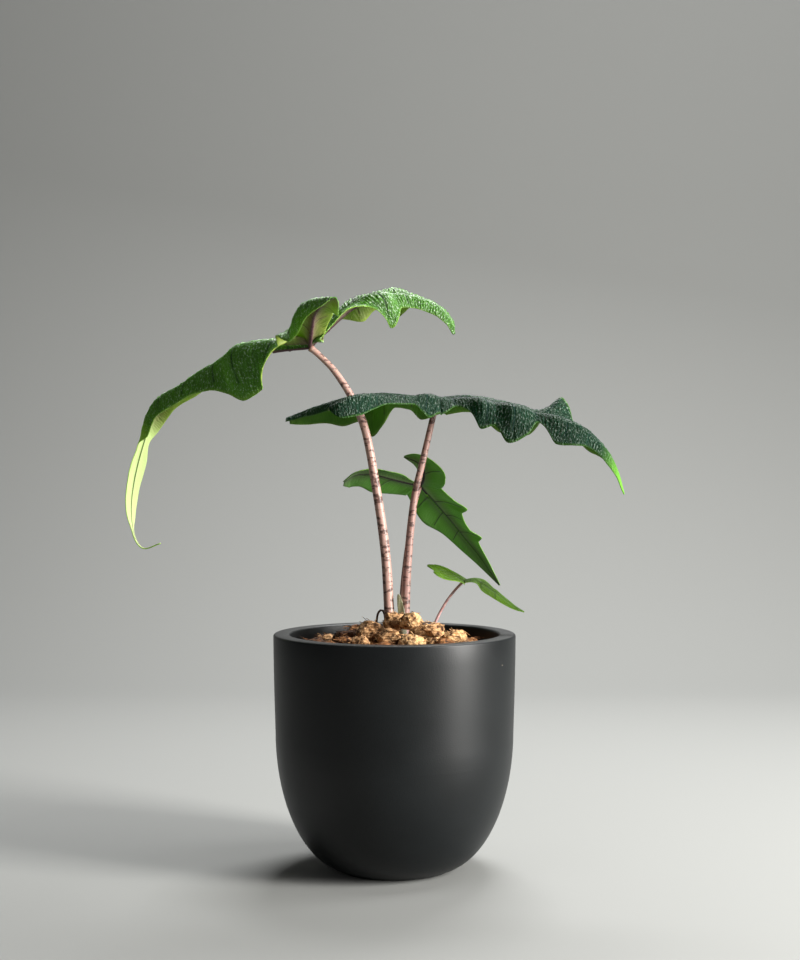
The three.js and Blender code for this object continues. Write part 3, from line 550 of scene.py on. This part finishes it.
def make_stalk(name, points, radii, sides, material, slot, node, flare=0.0, foot=0.0):
    """A round stalk along a curve, closed at both ends, swelling into the leaf and foot."""
    steps = max(24, int(np.sum(np.linalg.norm(np.diff(points, axis=0), axis=1)) / 1.2))
    spots, ways, length = curve_through(points, steps)
    normals = carried_normals(spots, ways, np.array([0.0, -1.0, 0.1]))
    places = np.linspace(0, 1, len(radii))
    bm = bmesh.new()

    def place(i, j):
        u = i / steps
        radius = float(np.interp(u, places, radii))
        top = length * (1 - u)
        radius *= 1 + flare * math.exp(-top / 2.5) + foot * math.exp(-length * u / 5)
        turn = math.tau * j / sides
        side = np.cross(ways[i], normals[i])
        angle = Vector(spots[i]) * 0.12 + Vector((math.cos(turn), math.sin(turn), 0)) * 0.4
        radius *= 1 + 0.035 * noise.noise(angle)
        out = normals[i] * math.cos(turn) + side * math.sin(turn)
        return Vector((spots[i] + out * radius) * MM)

    shaped_grid(bm, steps, sides, place)
    bmesh.ops.remove_doubles(bm, verts=bm.verts[:], dist=1e-6)
    bmesh.ops.holes_fill(bm, edges=[e for e in bm.edges if e.is_boundary], sides=0)
    bmesh.ops.recalc_face_normals(bm, faces=bm.faces[:])
    return finish_piece(bm, name, [material], slot, [node])


# Points up the middle in mm, radii, sides, and the swelling into the leaf and the foot.
STALKS = {
    "petiole_1": (
        [(-2.1, 0, 102.8), (-2.3, 0, 113), (-4.3, 0, 144), (-8.9, 0, 175.5),
         (-13.4, 0, 198.5), (-19.4, 0, 213), (-27.1, 0, 225), (-34, 0, 232.2),
         (-38.3, -0.1, 235.9)],
        [2.4, 2.2, 2.0, 1.8, 1.25], 28, 0.35, 0.12),
    "petiole_2": (
        [(4.6, 0, 102.8), (4.8, 0, 113), (6.1, 0, 139.5), (8.9, 0, 166.5), (13, 0, 185),
         (17.3, 0, 203.5), (18.8, 0, 209.8)],
        [2.15, 1.9, 1.7, 1.5, 1.3], 28, 0.3, 0.16),
    "petiole_3": (
        [(2.6, 6.4, 102.8), (3, 8, 113), (3.9, 14, 129), (6.2, 19.5, 147.5),
         (9.1, 23, 161.5), (11.8, 24.8, 172.4)],
        [1.25, 1.05, 0.9, 0.8], 20, 0.3, 0.1),
    "petiole_4": (
        [(15.4, 8, 93), (17, 8, 103), (19.1, 8, 110.7), (23, 8, 118.3), (27.2, 8, 124.2),
         (31.2, 8, 128.5)],
        [0.9, 0.7, 0.6, 0.55], 16, 0.3, 0.0),
}


def make_sheath():
    """The papery rest of an older stalk, curled half round the foot of the second one."""
    stem = STALKS["petiole_2"][0][:3]
    steps, foot, climb = 40, stem[0][2], stem[2][2] - stem[0][2]
    spots, _, _ = curve_through(stem, steps)
    low, high = 103.2, 125
    rows, columns = 36, 22
    bm = bmesh.new()

    def place(i, j):
        u, v = i / rows, 2 * j / columns - 1
        torn = 1 - 0.1 * (0.5 + 0.5 * noise.noise(Vector((v * 3.1, 2.2, 0)))) * (u > 0.5)
        height = low + (high - low) * u * torn
        axis = spots[min(int((height - foot) / climb * steps), steps)]
        half = math.radians(75 - 62 * u * u)
        turn = math.radians(215) + v * half
        wave = 0.22 * noise.noise(Vector((v * 2.5, u * 5, 4.4)))
        radius = 2.75 + 0.5 * u + 0.5 * u * u + wave + 0.5 * u * v * v
        return Vector((
            (axis[0] + radius * math.cos(turn)) * MM,
            (axis[1] + radius * math.sin(turn)) * MM, height * MM))

    shaped_grid(bm, rows, columns, place)
    bmesh.ops.solidify(bm, geom=bm.faces[:], thickness=0.28 * MM)
    bmesh.ops.recalc_face_normals(bm, faces=bm.faces[:])
    skin = dry_skin("dried_papery_sheath", "#dfe3cf", "#b9ba98", 0.4)
    return finish_piece(bm, "papery_sheath", [skin], "dry_sheath", ["sheath"])


# ------------------------------------------------------------------ leaves

# Each blade has a long arm to its drip tip and two arms behind the stalk, given by midrib
# points in mm. Each side of an arm lists rows: place along the arm, width in mm, then
# the degrees it climbs from the midrib and drops at the margin.
LEAVES = {
    "blade_1": {
        "up": (-0.05, -0.15, 1), "slant": 58, "columns": 18, "thick": 0.5,
        "ridge": 0.34, "pitch": 1.45, "rib_high": 0.55,
        "tip": [
            (-38.5, 0, 236), (-55, 9, 235), (-71, 18, 231.5), (-87, 26, 226), (-99, 34, 220),
            (-112.5, 44, 213), (-120.5, 52, 201.5), (-126, 57, 187.5), (-129.5, 58, 172.5),
            (-130.5, 58, 159.5), (-128.5, 57, 147.5), (-123.5, 55, 142), (-115, 51, 144.5)],
        "left": [
            (-38.5, 0, 236), (-37, -12, 243), (-35, -25, 248), (-31, -38, 251),
            (-26, -50, 252.5)],
        "right": [
            (-38.5, 0, 236), (-29.5, 6, 245.5), (-18, 13, 256), (-4.5, 18, 261),
            (8, 21, 261), (19.5, 22, 257), (26, 22, 251), (28, 22, 245)],
        "tip_left": [
            (0, 20, 66, 20), (0.05, 24, 62, 55), (0.09, 36, 60, 95), (0.15, 41, 60, 98),
            (0.21, 29, 56, 90), (0.27, 20, 52, 75), (0.36, 16, 45, 60), (0.46, 15.5, 45, 66),
            (0.56, 13, 42, 70), (0.63, 6, 20, 20), (0.68, 7.5, 20, 20), (0.76, 6.5, 15, 15),
            (0.83, 4, 10, 10), (0.89, 0.8, 5, 5), (1, 0.5, 5, 5)],
        "tip_right": [
            (0, 18, 65, 12), (0.06, 18, 65, 10), (0.15, 20, 60, 15), (0.26, 14, 50, 30),
            (0.36, 13, 45, 50), (0.48, 12, 45, 60), (0.58, 8, 30, 40), (0.63, 5, 20, 20),
            (0.68, 7, 15, 20), (0.76, 6, 10, 10), (0.83, 4, 10, 10), (0.89, 0.8, 5, 5),
            (1, 0.5, 5, 5)],
        "left_outer": [
            (0, 20, 66, 20), (0.25, 24, 62, 75), (0.5, 23, 60, 85), (0.75, 15, 50, 70),
            (1, 3, 30, 60)],
        "left_inner": [
            (0, 8, 60, 0), (0.3, 12, 55, 0), (0.6, 12, 45, 50), (0.8, 9, 45, 60),
            (1, 3, 30, 60)],
        "right_outer": [
            (0, 18, 65, 12), (0.2, 13, 60, 40), (0.37, 21, 55, 95), (0.46, 15, 55, 80),
            (0.58, 23, 55, 95), (0.68, 11, 45, 60), (0.85, 9, 40, 60), (1, 2, 30, 50)],
        "right_inner": [
            (0, 8, 60, 0), (0.18, 12, 62, -10), (0.32, 12, 60, 30), (0.44, 28, 55, 95),
            (0.56, 12, 45, 60), (0.85, 8, 40, 60), (1, 2, 30, 50)],
        "side_ribs": {
            "tip_left": (0.06, 0.15, 0.25, 0.36, 0.46),
            "tip_right": (0.06, 0.15, 0.25, 0.37, 0.48),
            "left_outer": (0.2, 0.45, 0.7), "left_inner": (0.3, 0.6),
            "right_outer": (0.15, 0.36, 0.58, 0.75), "right_inner": (0.15, 0.43, 0.62)},
        "tail": (0.52, 0.62),
    },
    "blade_2": {
        "up": (0.02, -0.05, 1), "slant": 58, "columns": 18, "thick": 0.5,
        "ridge": 0.2, "pitch": 1.3, "rib_high": 0.5,
        "tip": [
            (19, 0, 210), (31.5, -3, 211), (47.5, -6, 207.5), (65.5, -9, 204),
            (80, -11, 199.5), (88.5, -12, 194), (95, -13, 187.5), (99.5, -14, 179),
            (102.5, -14, 169.5)],
        "left": [
            (19, 0, 210), (9.5, 9, 213), (-4.5, 22, 215), (-21.5, 36, 214),
            (-37.5, 46, 210.5), (-51.5, 50, 206)],
        "right": [
            (19, 0, 210), (9.5, -7, 212), (-4, -17, 212), (-17, -25, 211), (-28, -29, 207.5)],
        "tip_left": [
            (0, 16, 60, 60), (0.1, 16, 60, 60), (0.22, 26, 50, 70), (0.34, 24, 50, 70),
            (0.42, 14, 45, 20), (0.48, 15, 45, -45), (0.55, 14, 40, 20), (0.64, 16, 40, 60),
            (0.8, 8, 30, 50), (0.92, 3.5, 20, 30), (1, 0.5, 10, 40)],
        "tip_right": [
            (0, 16, 60, 60), (0.08, 9, 55, 50), (0.13, 12, 52, 60), (0.18, 22, 50, 80),
            (0.235, 18, 48, 66), (0.3, 28, 50, 88), (0.37, 21, 48, 75), (0.43, 10, 45, 45),
            (0.52, 20, 45, 80), (0.6, 17, 45, 70), (0.7, 10, 40, 55), (0.8, 8, 35, 50),
            (0.92, 3.5, 20, 30), (1, 0.5, 10, 40)],
        "left_outer": [
            (0, 16, 60, 60), (0.13, 17, 30, 85), (0.22, 13, 30, 62), (0.32, 12, 30, 60),
            (0.42, 22, 25, 95), (0.5, 28, 20, 100), (0.58, 17, 22, 80), (0.68, 18, 25, 85),
            (0.8, 13, 25, 70), (0.9, 10, 25, 60), (1, 5, 20, 50)],
        "left_inner": [
            (0, 5, 20, 20), (0.14, 8, 45, 60), (0.4, 10, 45, 60), (0.64, 9, 40, 60),
            (0.8, 8, 30, 60), (0.9, 6, 30, 60), (1, 4, 20, 50)],
        "right_outer": [
            (0, 16, 60, 60), (0.08, 19, 60, 80), (0.16, 15, 55, 70), (0.25, 9, 45, 50),
            (0.5, 9, 45, 50), (0.62, 12, 50, 65), (0.75, 15, 50, 76), (0.9, 12, 45, 74),
            (1, 3, 30, 60)],
        "right_inner": [
            (0, 5, 20, 20), (0.3, 11, 45, 40), (0.6, 13, 45, 60), (0.85, 9, 45, 60),
            (1, 3, 30, 60)],
        "side_ribs": {
            "tip_left": (0.1, 0.23, 0.34, 0.48, 0.63),
            "tip_right": (0.07, 0.2, 0.31, 0.43, 0.55, 0.67),
            "left_outer": (0.2, 0.4, 0.6), "left_inner": (0.14, 0.27, 0.4, 0.54),
            "right_outer": (0.13, 0.35, 0.6), "right_inner": (0.3, 0.6)},
        "tail": (0.72, 0.98),
    },
    "blade_3": {
        "up": (0.24, 0.66, 0.71), "slant": 55, "columns": 14, "thick": 0.4,
        "ridge": 0.06, "pitch": 1.6, "rib_high": 0.35,
        "tip": [
            (12, 25, 173), (19, 33, 165), (26, 41, 157), (33.5, 48, 148), (42, 53, 137.5),
            (51.5, 56, 124)],
        "left": [
            (12, 25, 173), (5.5, 22, 174.5), (-2.5, 18, 176.5), (-11, 14, 178.5),
            (-18, 11, 178), (-23, 10, 175)],
        "right": [
            (12, 25, 173), (13.5, 20, 176), (13.5, 16, 180.5), (10.5, 14, 184),
            (4.5, 14, 186.5)],
        "tip_left": [
            (0, 10, 15, 10), (0.2, 15, 15, 20), (0.4, 10, 15, 20), (0.65, 6.5, 15, 20),
            (0.85, 3, 10, 20), (1, 0.5, 5, 5)],
        "tip_right": [
            (0, 10, 15, 10), (0.11, 13, 15, 15), (0.17, 17, 15, 15), (0.23, 12.5, 15, 20),
            (0.44, 8.5, 15, 20), (0.51, 11.5, 15, 15), (0.58, 7.5, 15, 20),
            (0.85, 3, 10, 20), (1, 0.5, 5, 5)],
        "left_outer": [
            (0, 10, 15, 10), (0.3, 13, 15, 20), (0.6, 10, 15, 30), (0.85, 8, 15, 30),
            (1, 3, 10, 20)],
        "left_inner": [
            (0, 3, 10, 10), (0.3, 8, 15, 20), (0.6, 9, 15, 30), (0.85, 6, 15, 30),
            (1, 2, 10, 20)],
        "right_outer": [
            (0, 10, 15, 10), (0.3, 12, 15, 20), (0.6, 9, 15, 30), (0.85, 4, 15, 30),
            (1, 0.5, 10, 20)],
        "right_inner": [
            (0, 3, 10, 10), (0.3, 4, 15, 20), (0.6, 3, 15, 30), (0.85, 1.5, 15, 30),
            (1, 0.5, 10, 20)],
        "side_ribs": {
            "tip_left": (0.12, 0.3, 0.5), "tip_right": (0.17, 0.33, 0.51), "left_outer": (0.35,),
            "left_inner": (), "right_outer": (0.4,), "right_inner": ()},
        "tail": (1.2, 1.4),
    },
    "blade_4": {
        "up": (0.35, -0.25, 0.9), "slant": 50, "columns": 12, "thick": 0.35,
        "ridge": 0.05, "pitch": 1.3, "rib_high": 0.2,
        "tip": [
            (31.5, 8, 129), (37, 6, 129.5), (42.5, 3, 126.5), (49, 0, 122), (54.5, -2, 118),
            (58.5, -3, 116)],
        "left": [(31.5, 8, 129), (27, 12, 132), (22.5, 15, 134.5), (18.5, 17, 136)],
        "right": [(31.5, 8, 129), (27, 4, 131.5), (22, 1, 133), (18, -1, 134.5)],
        "tip_left": [
            (0, 5, 20, 10), (0.25, 7, 20, 20), (0.6, 5, 15, 20), (0.85, 2.5, 10, 10),
            (1, 0.5, 5, 5)],
        "tip_right": [
            (0, 5, 20, 10), (0.25, 7, 20, 20), (0.6, 5, 15, 20), (0.85, 2.5, 10, 10),
            (1, 0.5, 5, 5)],
        "left_outer": [(0, 5, 20, 10), (0.4, 6, 15, 15), (0.8, 5, 15, 20), (1, 2, 10, 20)],
        "left_inner": [(0, 3, 10, 5), (0.4, 6, 8, 5), (0.8, 7, 5, 5), (1, 4, 5, 5)],
        "right_outer": [(0, 5, 20, 10), (0.4, 6, 15, 15), (0.8, 5, 15, 20), (1, 2, 10, 20)],
        "right_inner": [(0, 3, 10, 5), (0.4, 6, 8, 5), (0.8, 7, 5, 5), (1, 4, 5, 5)],
        "side_ribs": {
            "tip_left": (0.25, 0.5), "tip_right": (0.25, 0.5), "left_outer": (),
            "left_inner": (), "right_outer": (), "right_inner": ()},
        "tail": (1.2, 1.4),
    },
}

# Each strip's side list, its arm, and 1 on the left of the way it runs or -1 on the right.
STRIPS = (
    ("tip_left", "tip", 1), ("tip_right", "tip", -1), ("left_outer", "left", -1),
    ("left_inner", "left", 1), ("right_outer", "right", 1), ("right_inner", "right", -1),
)
BLADE_VALUES = (
    "along", "across", "share", "tail", "taper", "hand", "relief", "midrib_gap", "lateral_gap")
ROW_GAP = 0.34
TURN_OVER = 0.66
RIB_STEPS = 60
BACK_SLANT = 62
LEAST_WIDTH = 0.45
COLUMN_CROWDING = 1.3


def between(rows, along):
    """Values at a place between the rows of a side list, with no overshoot."""
    k = 0
    while k < len(rows) - 2 and along >= rows[k + 1][0]:
        k += 1
    span = rows[k + 1][0] - rows[k][0]
    s = (along - rows[k][0]) / span

    def slope(i, c):
        if i in (0, len(rows) - 1):
            return 0.0
        before = (rows[i][c] - rows[i - 1][c]) / (rows[i][0] - rows[i - 1][0])
        after = (rows[i + 1][c] - rows[i][c]) / (rows[i + 1][0] - rows[i][0])
        return 2 * before * after / (before + after) if before * after > 0 else 0.0

    made = []
    for c in (1, 2, 3):
        y0, y1, m0, m1 = rows[k][c], rows[k + 1][c], slope(k, c), slope(k + 1, c)
        if k == len(rows) - 2:
            m1 = (y1 - y0) / span * 1.5 - m0 * 0.5
        s2, s3 = s * s, s * s * s
        made.append(
            (2 * s3 - 3 * s2 + 1) * y0 + (s3 - 2 * s2 + s) * span * m0
            + (3 * s2 - 2 * s3) * y1 + (s3 - s2) * span * m1)
    return made


def rib_points(width, climb, drop, shares):
    """How far out and how high a rib runs, climbing from the midrib and turning over."""
    s = np.minimum((np.arange(RIB_STEPS) + 0.5) / RIB_STEPS / TURN_OVER, 1)
    angle = np.radians(climb - (climb + drop) * s * s * (3 - 2 * s))
    steps = np.arange(RIB_STEPS + 1)
    out = np.concatenate([[0], np.cumsum(np.cos(angle))]) * width / RIB_STEPS
    high = np.concatenate([[0], np.cumsum(np.sin(angle))]) * width / RIB_STEPS
    at = shares * RIB_STEPS
    return np.interp(at, steps, out), np.interp(at, steps, high)


def unit(vector):
    return vector / np.linalg.norm(vector)


def nearest(points):
    tree = kdtree.KDTree(len(points))
    for k, point in enumerate(points):
        tree.insert(Vector(point), k)
    tree.balance()
    return tree


def make_blade(name, leaf, materials, slot):
    """A blade of six strips that share midribs: ridges above, standing ribs beneath."""
    up = unit(np.array(leaf["up"], float))
    arms, lengths = {}, {}
    for arm in ("tip", "left", "right"):
        rough = np.sum(np.linalg.norm(np.diff(np.array(leaf[arm], float), axis=0), axis=1))
        spots, ways, lengths[arm] = curve_through(leaf[arm], int(rough / ROW_GAP))
        arms[arm] = (spots, ways, carried_normals(spots, ways, up))

    def level(way):
        return unit(way - (way @ up) * up)

    ahead, left_way, right_way = (level(arms[a][1][0]) for a in ("tip", "left", "right"))
    first = {
        "tip_left": level(ahead + left_way), "tip_right": level(ahead + right_way),
        "left_inner": level(left_way + right_way)}
    first["left_outer"] = first["tip_left"]
    first["right_outer"] = first["tip_right"]
    first["right_inner"] = first["left_inner"]

    bm = bmesh.new()
    floats = bm.verts.layers.float
    along_mm, across_mm, share_of, tail_of, taper_of, hand_of, relief_of, rib_gap, side_gap = (
        floats.new(key) for key in BLADE_VALUES)
    number = bm.verts.layers.int.new("number")
    columns = leaf["columns"]
    shares = (np.arange(columns + 1) / columns) ** COLUMN_CROWDING
    side_ribs = []
    for side_name, arm, side in STRIPS:
        spots, ways, normals = arms[arm]
        steps = len(spots) - 1
        slant = math.radians(leaf["slant"] if arm == "tip" else BACK_SLANT)
        reach0 = first[side_name]
        start = np.cross(normals[0], ways[0]) * side
        opening = math.atan2(reach0 @ start, reach0 @ ways[0])
        lines, widths = [], []
        for i in range(steps + 1):
            along = i / steps
            width, climb, drop = between(leaf[side_name], along)
            width = max(width, LEAST_WIDTH)
            aside = np.cross(normals[i], ways[i]) * side
            angle = opening + (slant - opening) * smooth_step(along, 0, 0.22)
            reach = ways[i] * math.cos(angle) + aside * math.sin(angle)
            lift = normals[i]
            if i == 0:
                reach, lift = reach0, up
            out, high = rib_points(width, climb, drop, shares)
            lines.append(spots[i] + out[:, None] * reach + high[:, None] * lift)
            widths.append(width)
        for place in leaf["side_ribs"][side_name]:
            line = lines[round(place * steps)]
            dense = np.linspace(0, columns * 0.86, 60)
            side_ribs += [
                [np.interp(d, range(columns + 1), line[:, c]) for c in range(3)]
                for d in dense]
        made = bmesh.ops.create_grid(bm, x_segments=steps, y_segments=columns, size=0.5)
        for vert in made["verts"]:
            i = round((vert.co.x + 0.5) * steps)
            j = round((vert.co.y + 0.5) * columns)
            if side < 0:
                j = columns - j
            vert.co = Vector(lines[i][j])
            vert[along_mm] = i / steps * lengths[arm]
            vert[across_mm] = shares[j] * widths[i]
            vert[share_of] = shares[j]
            vert[hand_of] = side
            vert[taper_of] = 1 - 0.78 * i / steps
            vert[tail_of] = smooth_step(i / steps, *leaf["tail"]) if arm == "tip" else 0
    bmesh.ops.remove_doubles(bm, verts=bm.verts[:], dist=0.02)
    bm.normal_update()
    bm.verts.index_update()
    midribs = nearest(np.vstack([arms[a][0] for a in arms]))
    laterals = nearest(side_ribs if side_ribs else [[1e3, 0, 0]])
    middles, normals, tops, unders = [], [], [], []
    for vert in bm.verts:
        gap = midribs.find(vert.co)[2]
        side_far = laterals.find(vert.co)[2]
        along, across = vert[along_mm], vert[across_mm]
        wander = 0.9 * noise.noise(vert.co * 0.14) + 0.6 * noise.noise(vert.co * 0.5)
        phase = (along / leaf["pitch"] + wander) * math.tau
        cell = noise.noise(Vector((along / leaf["pitch"] * 0.9, across / 1.7, 7.7)))
        calm = smooth_step(gap, 0.3, 2.2) * (1 - 0.85 * vert[tail_of])
        edge = 1 - 0.4 * smooth_step(vert[share_of], 0.9, 1.0)
        pleat = math.sin(phase) * (0.6 + 0.8 * cell) + 0.8 * cell
        relief = pleat * calm * edge
        vert[relief_of] = relief
        vert[rib_gap], vert[side_gap] = gap, side_far
        taper = vert[taper_of]
        swell = math.exp(-(gap / (taper + 0.25)) ** 2) * taper
        side_swell = math.exp(-(side_far / 0.7) ** 2) * taper
        puff = 0.5 * noise.noise(vert.co * 0.17) * smooth_step(gap, 1, 5)
        body = leaf["ridge"] * relief + puff * leaf["ridge"] * 1.6
        half = leaf["thick"] / 2 * (1 - 0.35 * smooth_step(vert[share_of], 0.85, 1.0))
        top = body - 0.45 * leaf["rib_high"] * swell - 0.35 * leaf["rib_high"] * side_swell
        under = leaf["rib_high"] * swell + 0.5 * leaf["rib_high"] * side_swell
        middles.append(vert.co.copy())
        normals.append(vert.normal.copy())
        tops.append(half + top)
        unders.append(-half + body * 0.8 - under)
        vert[number] = vert.index
    count = len(bm.verts)
    bmesh.ops.solidify(bm, geom=bm.faces[:], thickness=leaf["thick"])
    bm.verts.index_update()
    for vert in bm.verts:
        k = vert[number]
        height = tops[k] if vert.index < count else unders[k]
        vert.co = (middles[k] + normals[k] * height) * MM
    for face in bm.faces:
        face.material_index = 1 if all(v.index >= count for v in face.verts) else 0
    bmesh.ops.recalc_face_normals(bm, faces=bm.faces[:])
    return finish_piece(bm, name, materials, slot, [name.replace("leaf", "blade")])


# Colours and shares for leaf_skin; halo, rib and side_rib are reaches in mm.
TOP_GREEN = {
    # The tail colour is the tip's paler green brightened with painted backlight.
    "deep": "#123610", "bright": "#63a932", "tail": "#a9d64a", "margin": "#9fce4a",
    "margin_share": 0.5, "halo": 2.5, "halo_share": 0.25, "halo_colour": "#1c4418",
    "rib": 0.8, "side_rib": 0.9, "side_rib_share": 0.8, "vein": "#0a1f10",
    # The ridge share sets how much painted highlight on the ridges and painted shade in the
    # grooves goes into the green.
    "glow": "#8fc22a", "bump": 0.9, "rough": 0.33, "through": 0.34, "ridge_share": 0.8,
    # The bristle share sets the strength of the painted white glints on the ridge tops.
    "gloss": 0.5, "bristle_share": 0.85,
}
UNDER_GREEN = {
    # The underside tail colour is the tip's paler green brightened almost to white with painted
    # backlight and a painted sheen.
    "deep": "#76803c", "bright": "#98a84a", "tail": "#dff0a8", "margin": "#a8c860",
    "margin_share": 0.4, "halo": 9.0, "halo_share": 0.9, "halo_colour": "#6c5852",
    "rib": 0.95, "side_rib": 0.6, "side_rib_share": 0.75, "vein": "#5a3c42",
    "glow": "#a4cc34", "bump": 0.25, "rough": 0.45, "through": 0.32, "ridge_share": 0.25,
    "gloss": 0.35, "bristle_share": 0.0,
}
LOOKS = {
    "leaf_1": (TOP_GREEN, UNDER_GREEN, "leaf_mid_green"),
    "leaf_2": (
        {**TOP_GREEN, "deep": "#06120c", "bright": "#183c2c", "tail": "#6fae3a", "gloss": 0.1,
         "bristle_share": 0.22, "margin": "#6da33e", "margin_share": 0.3, "vein": "#0f2b22",
         "halo_colour": "#153a30", "glow": "#5f9a26", "through": 0.22},
        {**UNDER_GREEN, "deep": "#48682a", "bright": "#628a36", "halo": 6.0,
         "halo_share": 0.6, "halo_colour": "#4c4638", "vein": "#38262c",
         "glow": "#84b030", "through": 0.4},
        "leaf_blue_green"),
    "leaf_3": (
        {**TOP_GREEN, "deep": "#27501c", "bright": "#3f7a26", "vein": "#1c3a16",
         "ridge_share": 0.3, "bristle_share": 0.1},
        {**UNDER_GREEN, "deep": "#3e6628", "bright": "#56803c", "halo": 6.0,
         "halo_share": 0.65, "halo_colour": "#55604a", "vein": "#2c2226",
         "margin": "#6b9a3a", "rib": 1.0, "side_rib": 0.6, "side_rib_share": 0.9,
         "glow": "#6fa82a", "ridge_share": 0.2},
        "leaf_mid_green"),
    "leaf_4": (
        {**TOP_GREEN, "deep": "#2c430a", "bright": "#4f7412", "vein": "#2a400c", "gloss": 0.12,
         "halo_share": 0.1, "glow": "#8fb428", "ridge_share": 0.3, "through": 0.32,
         "bristle_share": 0.0},
        {**UNDER_GREEN, "deep": "#425e14", "bright": "#5f7d24", "halo_share": 0.15,
         "gloss": 0.15, "vein": "#5a4a2c", "rib": 0.4, "side_rib": 0.25, "glow": "#9cc030",
         "through": 0.32},
        "leaf_young_green"),
}


# ------------------------------------------------------------------ build


def make_plant():
    make_pot()
    crumbs = crumb_mix()
    make_bed(crumbs)
    make_crumbs(crumbs)
    husks = {
        "dark": husk_fibre("dark_coco_husk", "#140b06", "#3d2416", "#6f4a30"),
        "brown": husk_fibre("brown_coco_husk", "#28160c", "#6e4529", "#ab784a"),
        "tan": husk_fibre("tan_coco_husk", "#3c2314", "#a0744a", "#dfb384"),
        "light": husk_fibre("light_coco_husk", "#52341e", "#bb8c5a", "#ebc594"),
    }
    nodes = frame["nodes"]
    tones = {
        row["node"]: row["material_slot"] for row in frame["record"]["subparts"]
        if row["node"].startswith("husk_chip")}
    for number in range(1, len(tones) + 1):
        slot = tones[f"husk_chip_{number:02d}"]
        make_chip(number, slot.replace("husk_", ""), husks)
    bark = dry_skin("scaly_corm_skin", "#6a4a30", "#2e1d12", 0.0)
    nodes["corm"].data.materials.clear()
    nodes["corm"].data.materials.append(bark)
    main = stalk_skin("mottled_stalk_skin", "#b9978b", "#8f6e64", "#3d211b", 0.85)
    brown = stalk_skin("brown_mottled_stalk_skin", "#a5827a", "#785a50", "#37201a", 0.85)
    thin = stalk_skin("thin_dark_stalk_skin", "#a58074", "#8a655c", "#3f2a22", 0.7)
    young = stalk_skin("young_stalk_skin", "#c9a3a0", "#b08884", "#7a5048", 0.4)
    skins = {"petiole_1": main, "petiole_2": brown, "petiole_3": thin, "petiole_4": young}
    for node, (points, radii, sides, flare, foot) in STALKS.items():
        name = node.replace("petiole", "stalk")
        make_stalk(name, points, radii, sides, skins[node], "stalk_skin", node, flare, foot)
    make_sheath()
    make_stalk(
        "surface_root",
        [(-8.6, 5.5, 103), (-8.4, 4.4, 108.5), (-7.6, 3.4, 114.6), (-5.6, 2.9, 116.2),
         (-4.4, 4.6, 112.6), (-4.6, 6.2, 104)],
        [0.6, 0.5, 0.5, 0.45], 12, bark, "corm_skin", "root")
    for name, (top, under, slot) in LOOKS.items():
        skins = [leaf_skin(name + "_waxed_upper_skin", top),
                 leaf_skin(name + "_matt_under_skin", under)]
        make_blade(name, LEAVES[name.replace("leaf", "blade")], skins, slot)


def make_stage():
    """A pale seamless sweep: floor, curve and wall in one sheet."""
    bm = bmesh.new()
    profile = [(-1.6, 0.0), (0.55, 0.0)]
    profile += [(0.55 + 0.5 * math.sin(a), 0.5 - 0.5 * math.cos(a))
                for a in (math.radians(90 * k / 16) for k in range(1, 17))]
    profile += [(1.05, 2.6)]

    def place(i, j):
        return Vector((-2.6 + 5.2 * j, profile[i][0], profile[i][1]))

    shaped_grid(bm, len(profile) - 1, 1, place)
    bmesh.ops.recalc_face_normals(bm, faces=bm.faces[:])
    made, tree = new_material("matt_grey_paper_sweep")
    skin = add(tree, "BsdfPrincipled", {
        "Base Color": linear("#858684"), "Roughness": 0.9, "Specular IOR Level": 0.1})
    add(tree, "OutputMaterial", {0: skin.outputs[0]})
    mesh = bpy.data.meshes.new("sweep")
    bm.to_mesh(mesh)
    bm.free()
    mesh.materials.append(made)
    mesh.polygons.foreach_set("use_smooth", [True] * len(mesh.polygons))
    sweep = bpy.data.objects.new("sweep", mesh)
    bpy.context.scene.collection.objects.link(sweep)


def make_light(name, place, target, size, power, colour="#ffffff"):
    lamp = bpy.data.lights.new(name, "AREA")
    lamp.shape = "RECTANGLE"
    lamp.size, lamp.size_y = size
    lamp.energy = power
    lamp.color = linear(colour)[:3]
    holder = bpy.data.objects.new(name, lamp)
    holder.location = place
    holder.rotation_euler = (Vector(target) - Vector(place)).to_track_quat("-Z", "Y").to_euler()
    bpy.context.scene.collection.objects.link(holder)


def make_camera():
    data = bpy.data.cameras.new("camera")
    data.lens, data.sensor_width, data.sensor_fit = 56.25, 36.0, "AUTO"
    data.clip_start, data.clip_end = 0.05, 20
    camera = bpy.data.objects.new("camera", data)
    camera.location = (0.0025, -0.683, 0.1757)
    camera.rotation_euler = (math.radians(90), 0, 0)
    bpy.context.scene.collection.objects.link(camera)
    bpy.context.scene.camera = camera


make_camera()
make_plant()
make_stage()
make_light("window", (0.8, -0.38, 0.37), (0, 0, 0.13), (0.24, 0.62), 29, "#fffdf9")
make_light("top", (0.12, 0.42, 0.85), (0, 0, 0.22), (0.4, 0.3), 12)
make_light("front", (-0.9, -1.1, 0.7), (0, 0, 0.15), (0.8, 0.8), 1.2)
make_light("wall", (0.8, 0.1, 1.7), (0.45, 1.05, 0.95), (1.8, 0.6), 23)

world = bpy.data.worlds.new("studio")
bpy.context.scene.world = world
world.use_nodes = True
world.node_tree.nodes["Background"].inputs[0].default_value = linear("#d9dbde")
world.node_tree.nodes["Background"].inputs[1].default_value = 0.06
bpy.context.scene.view_settings.view_transform = "Standard"
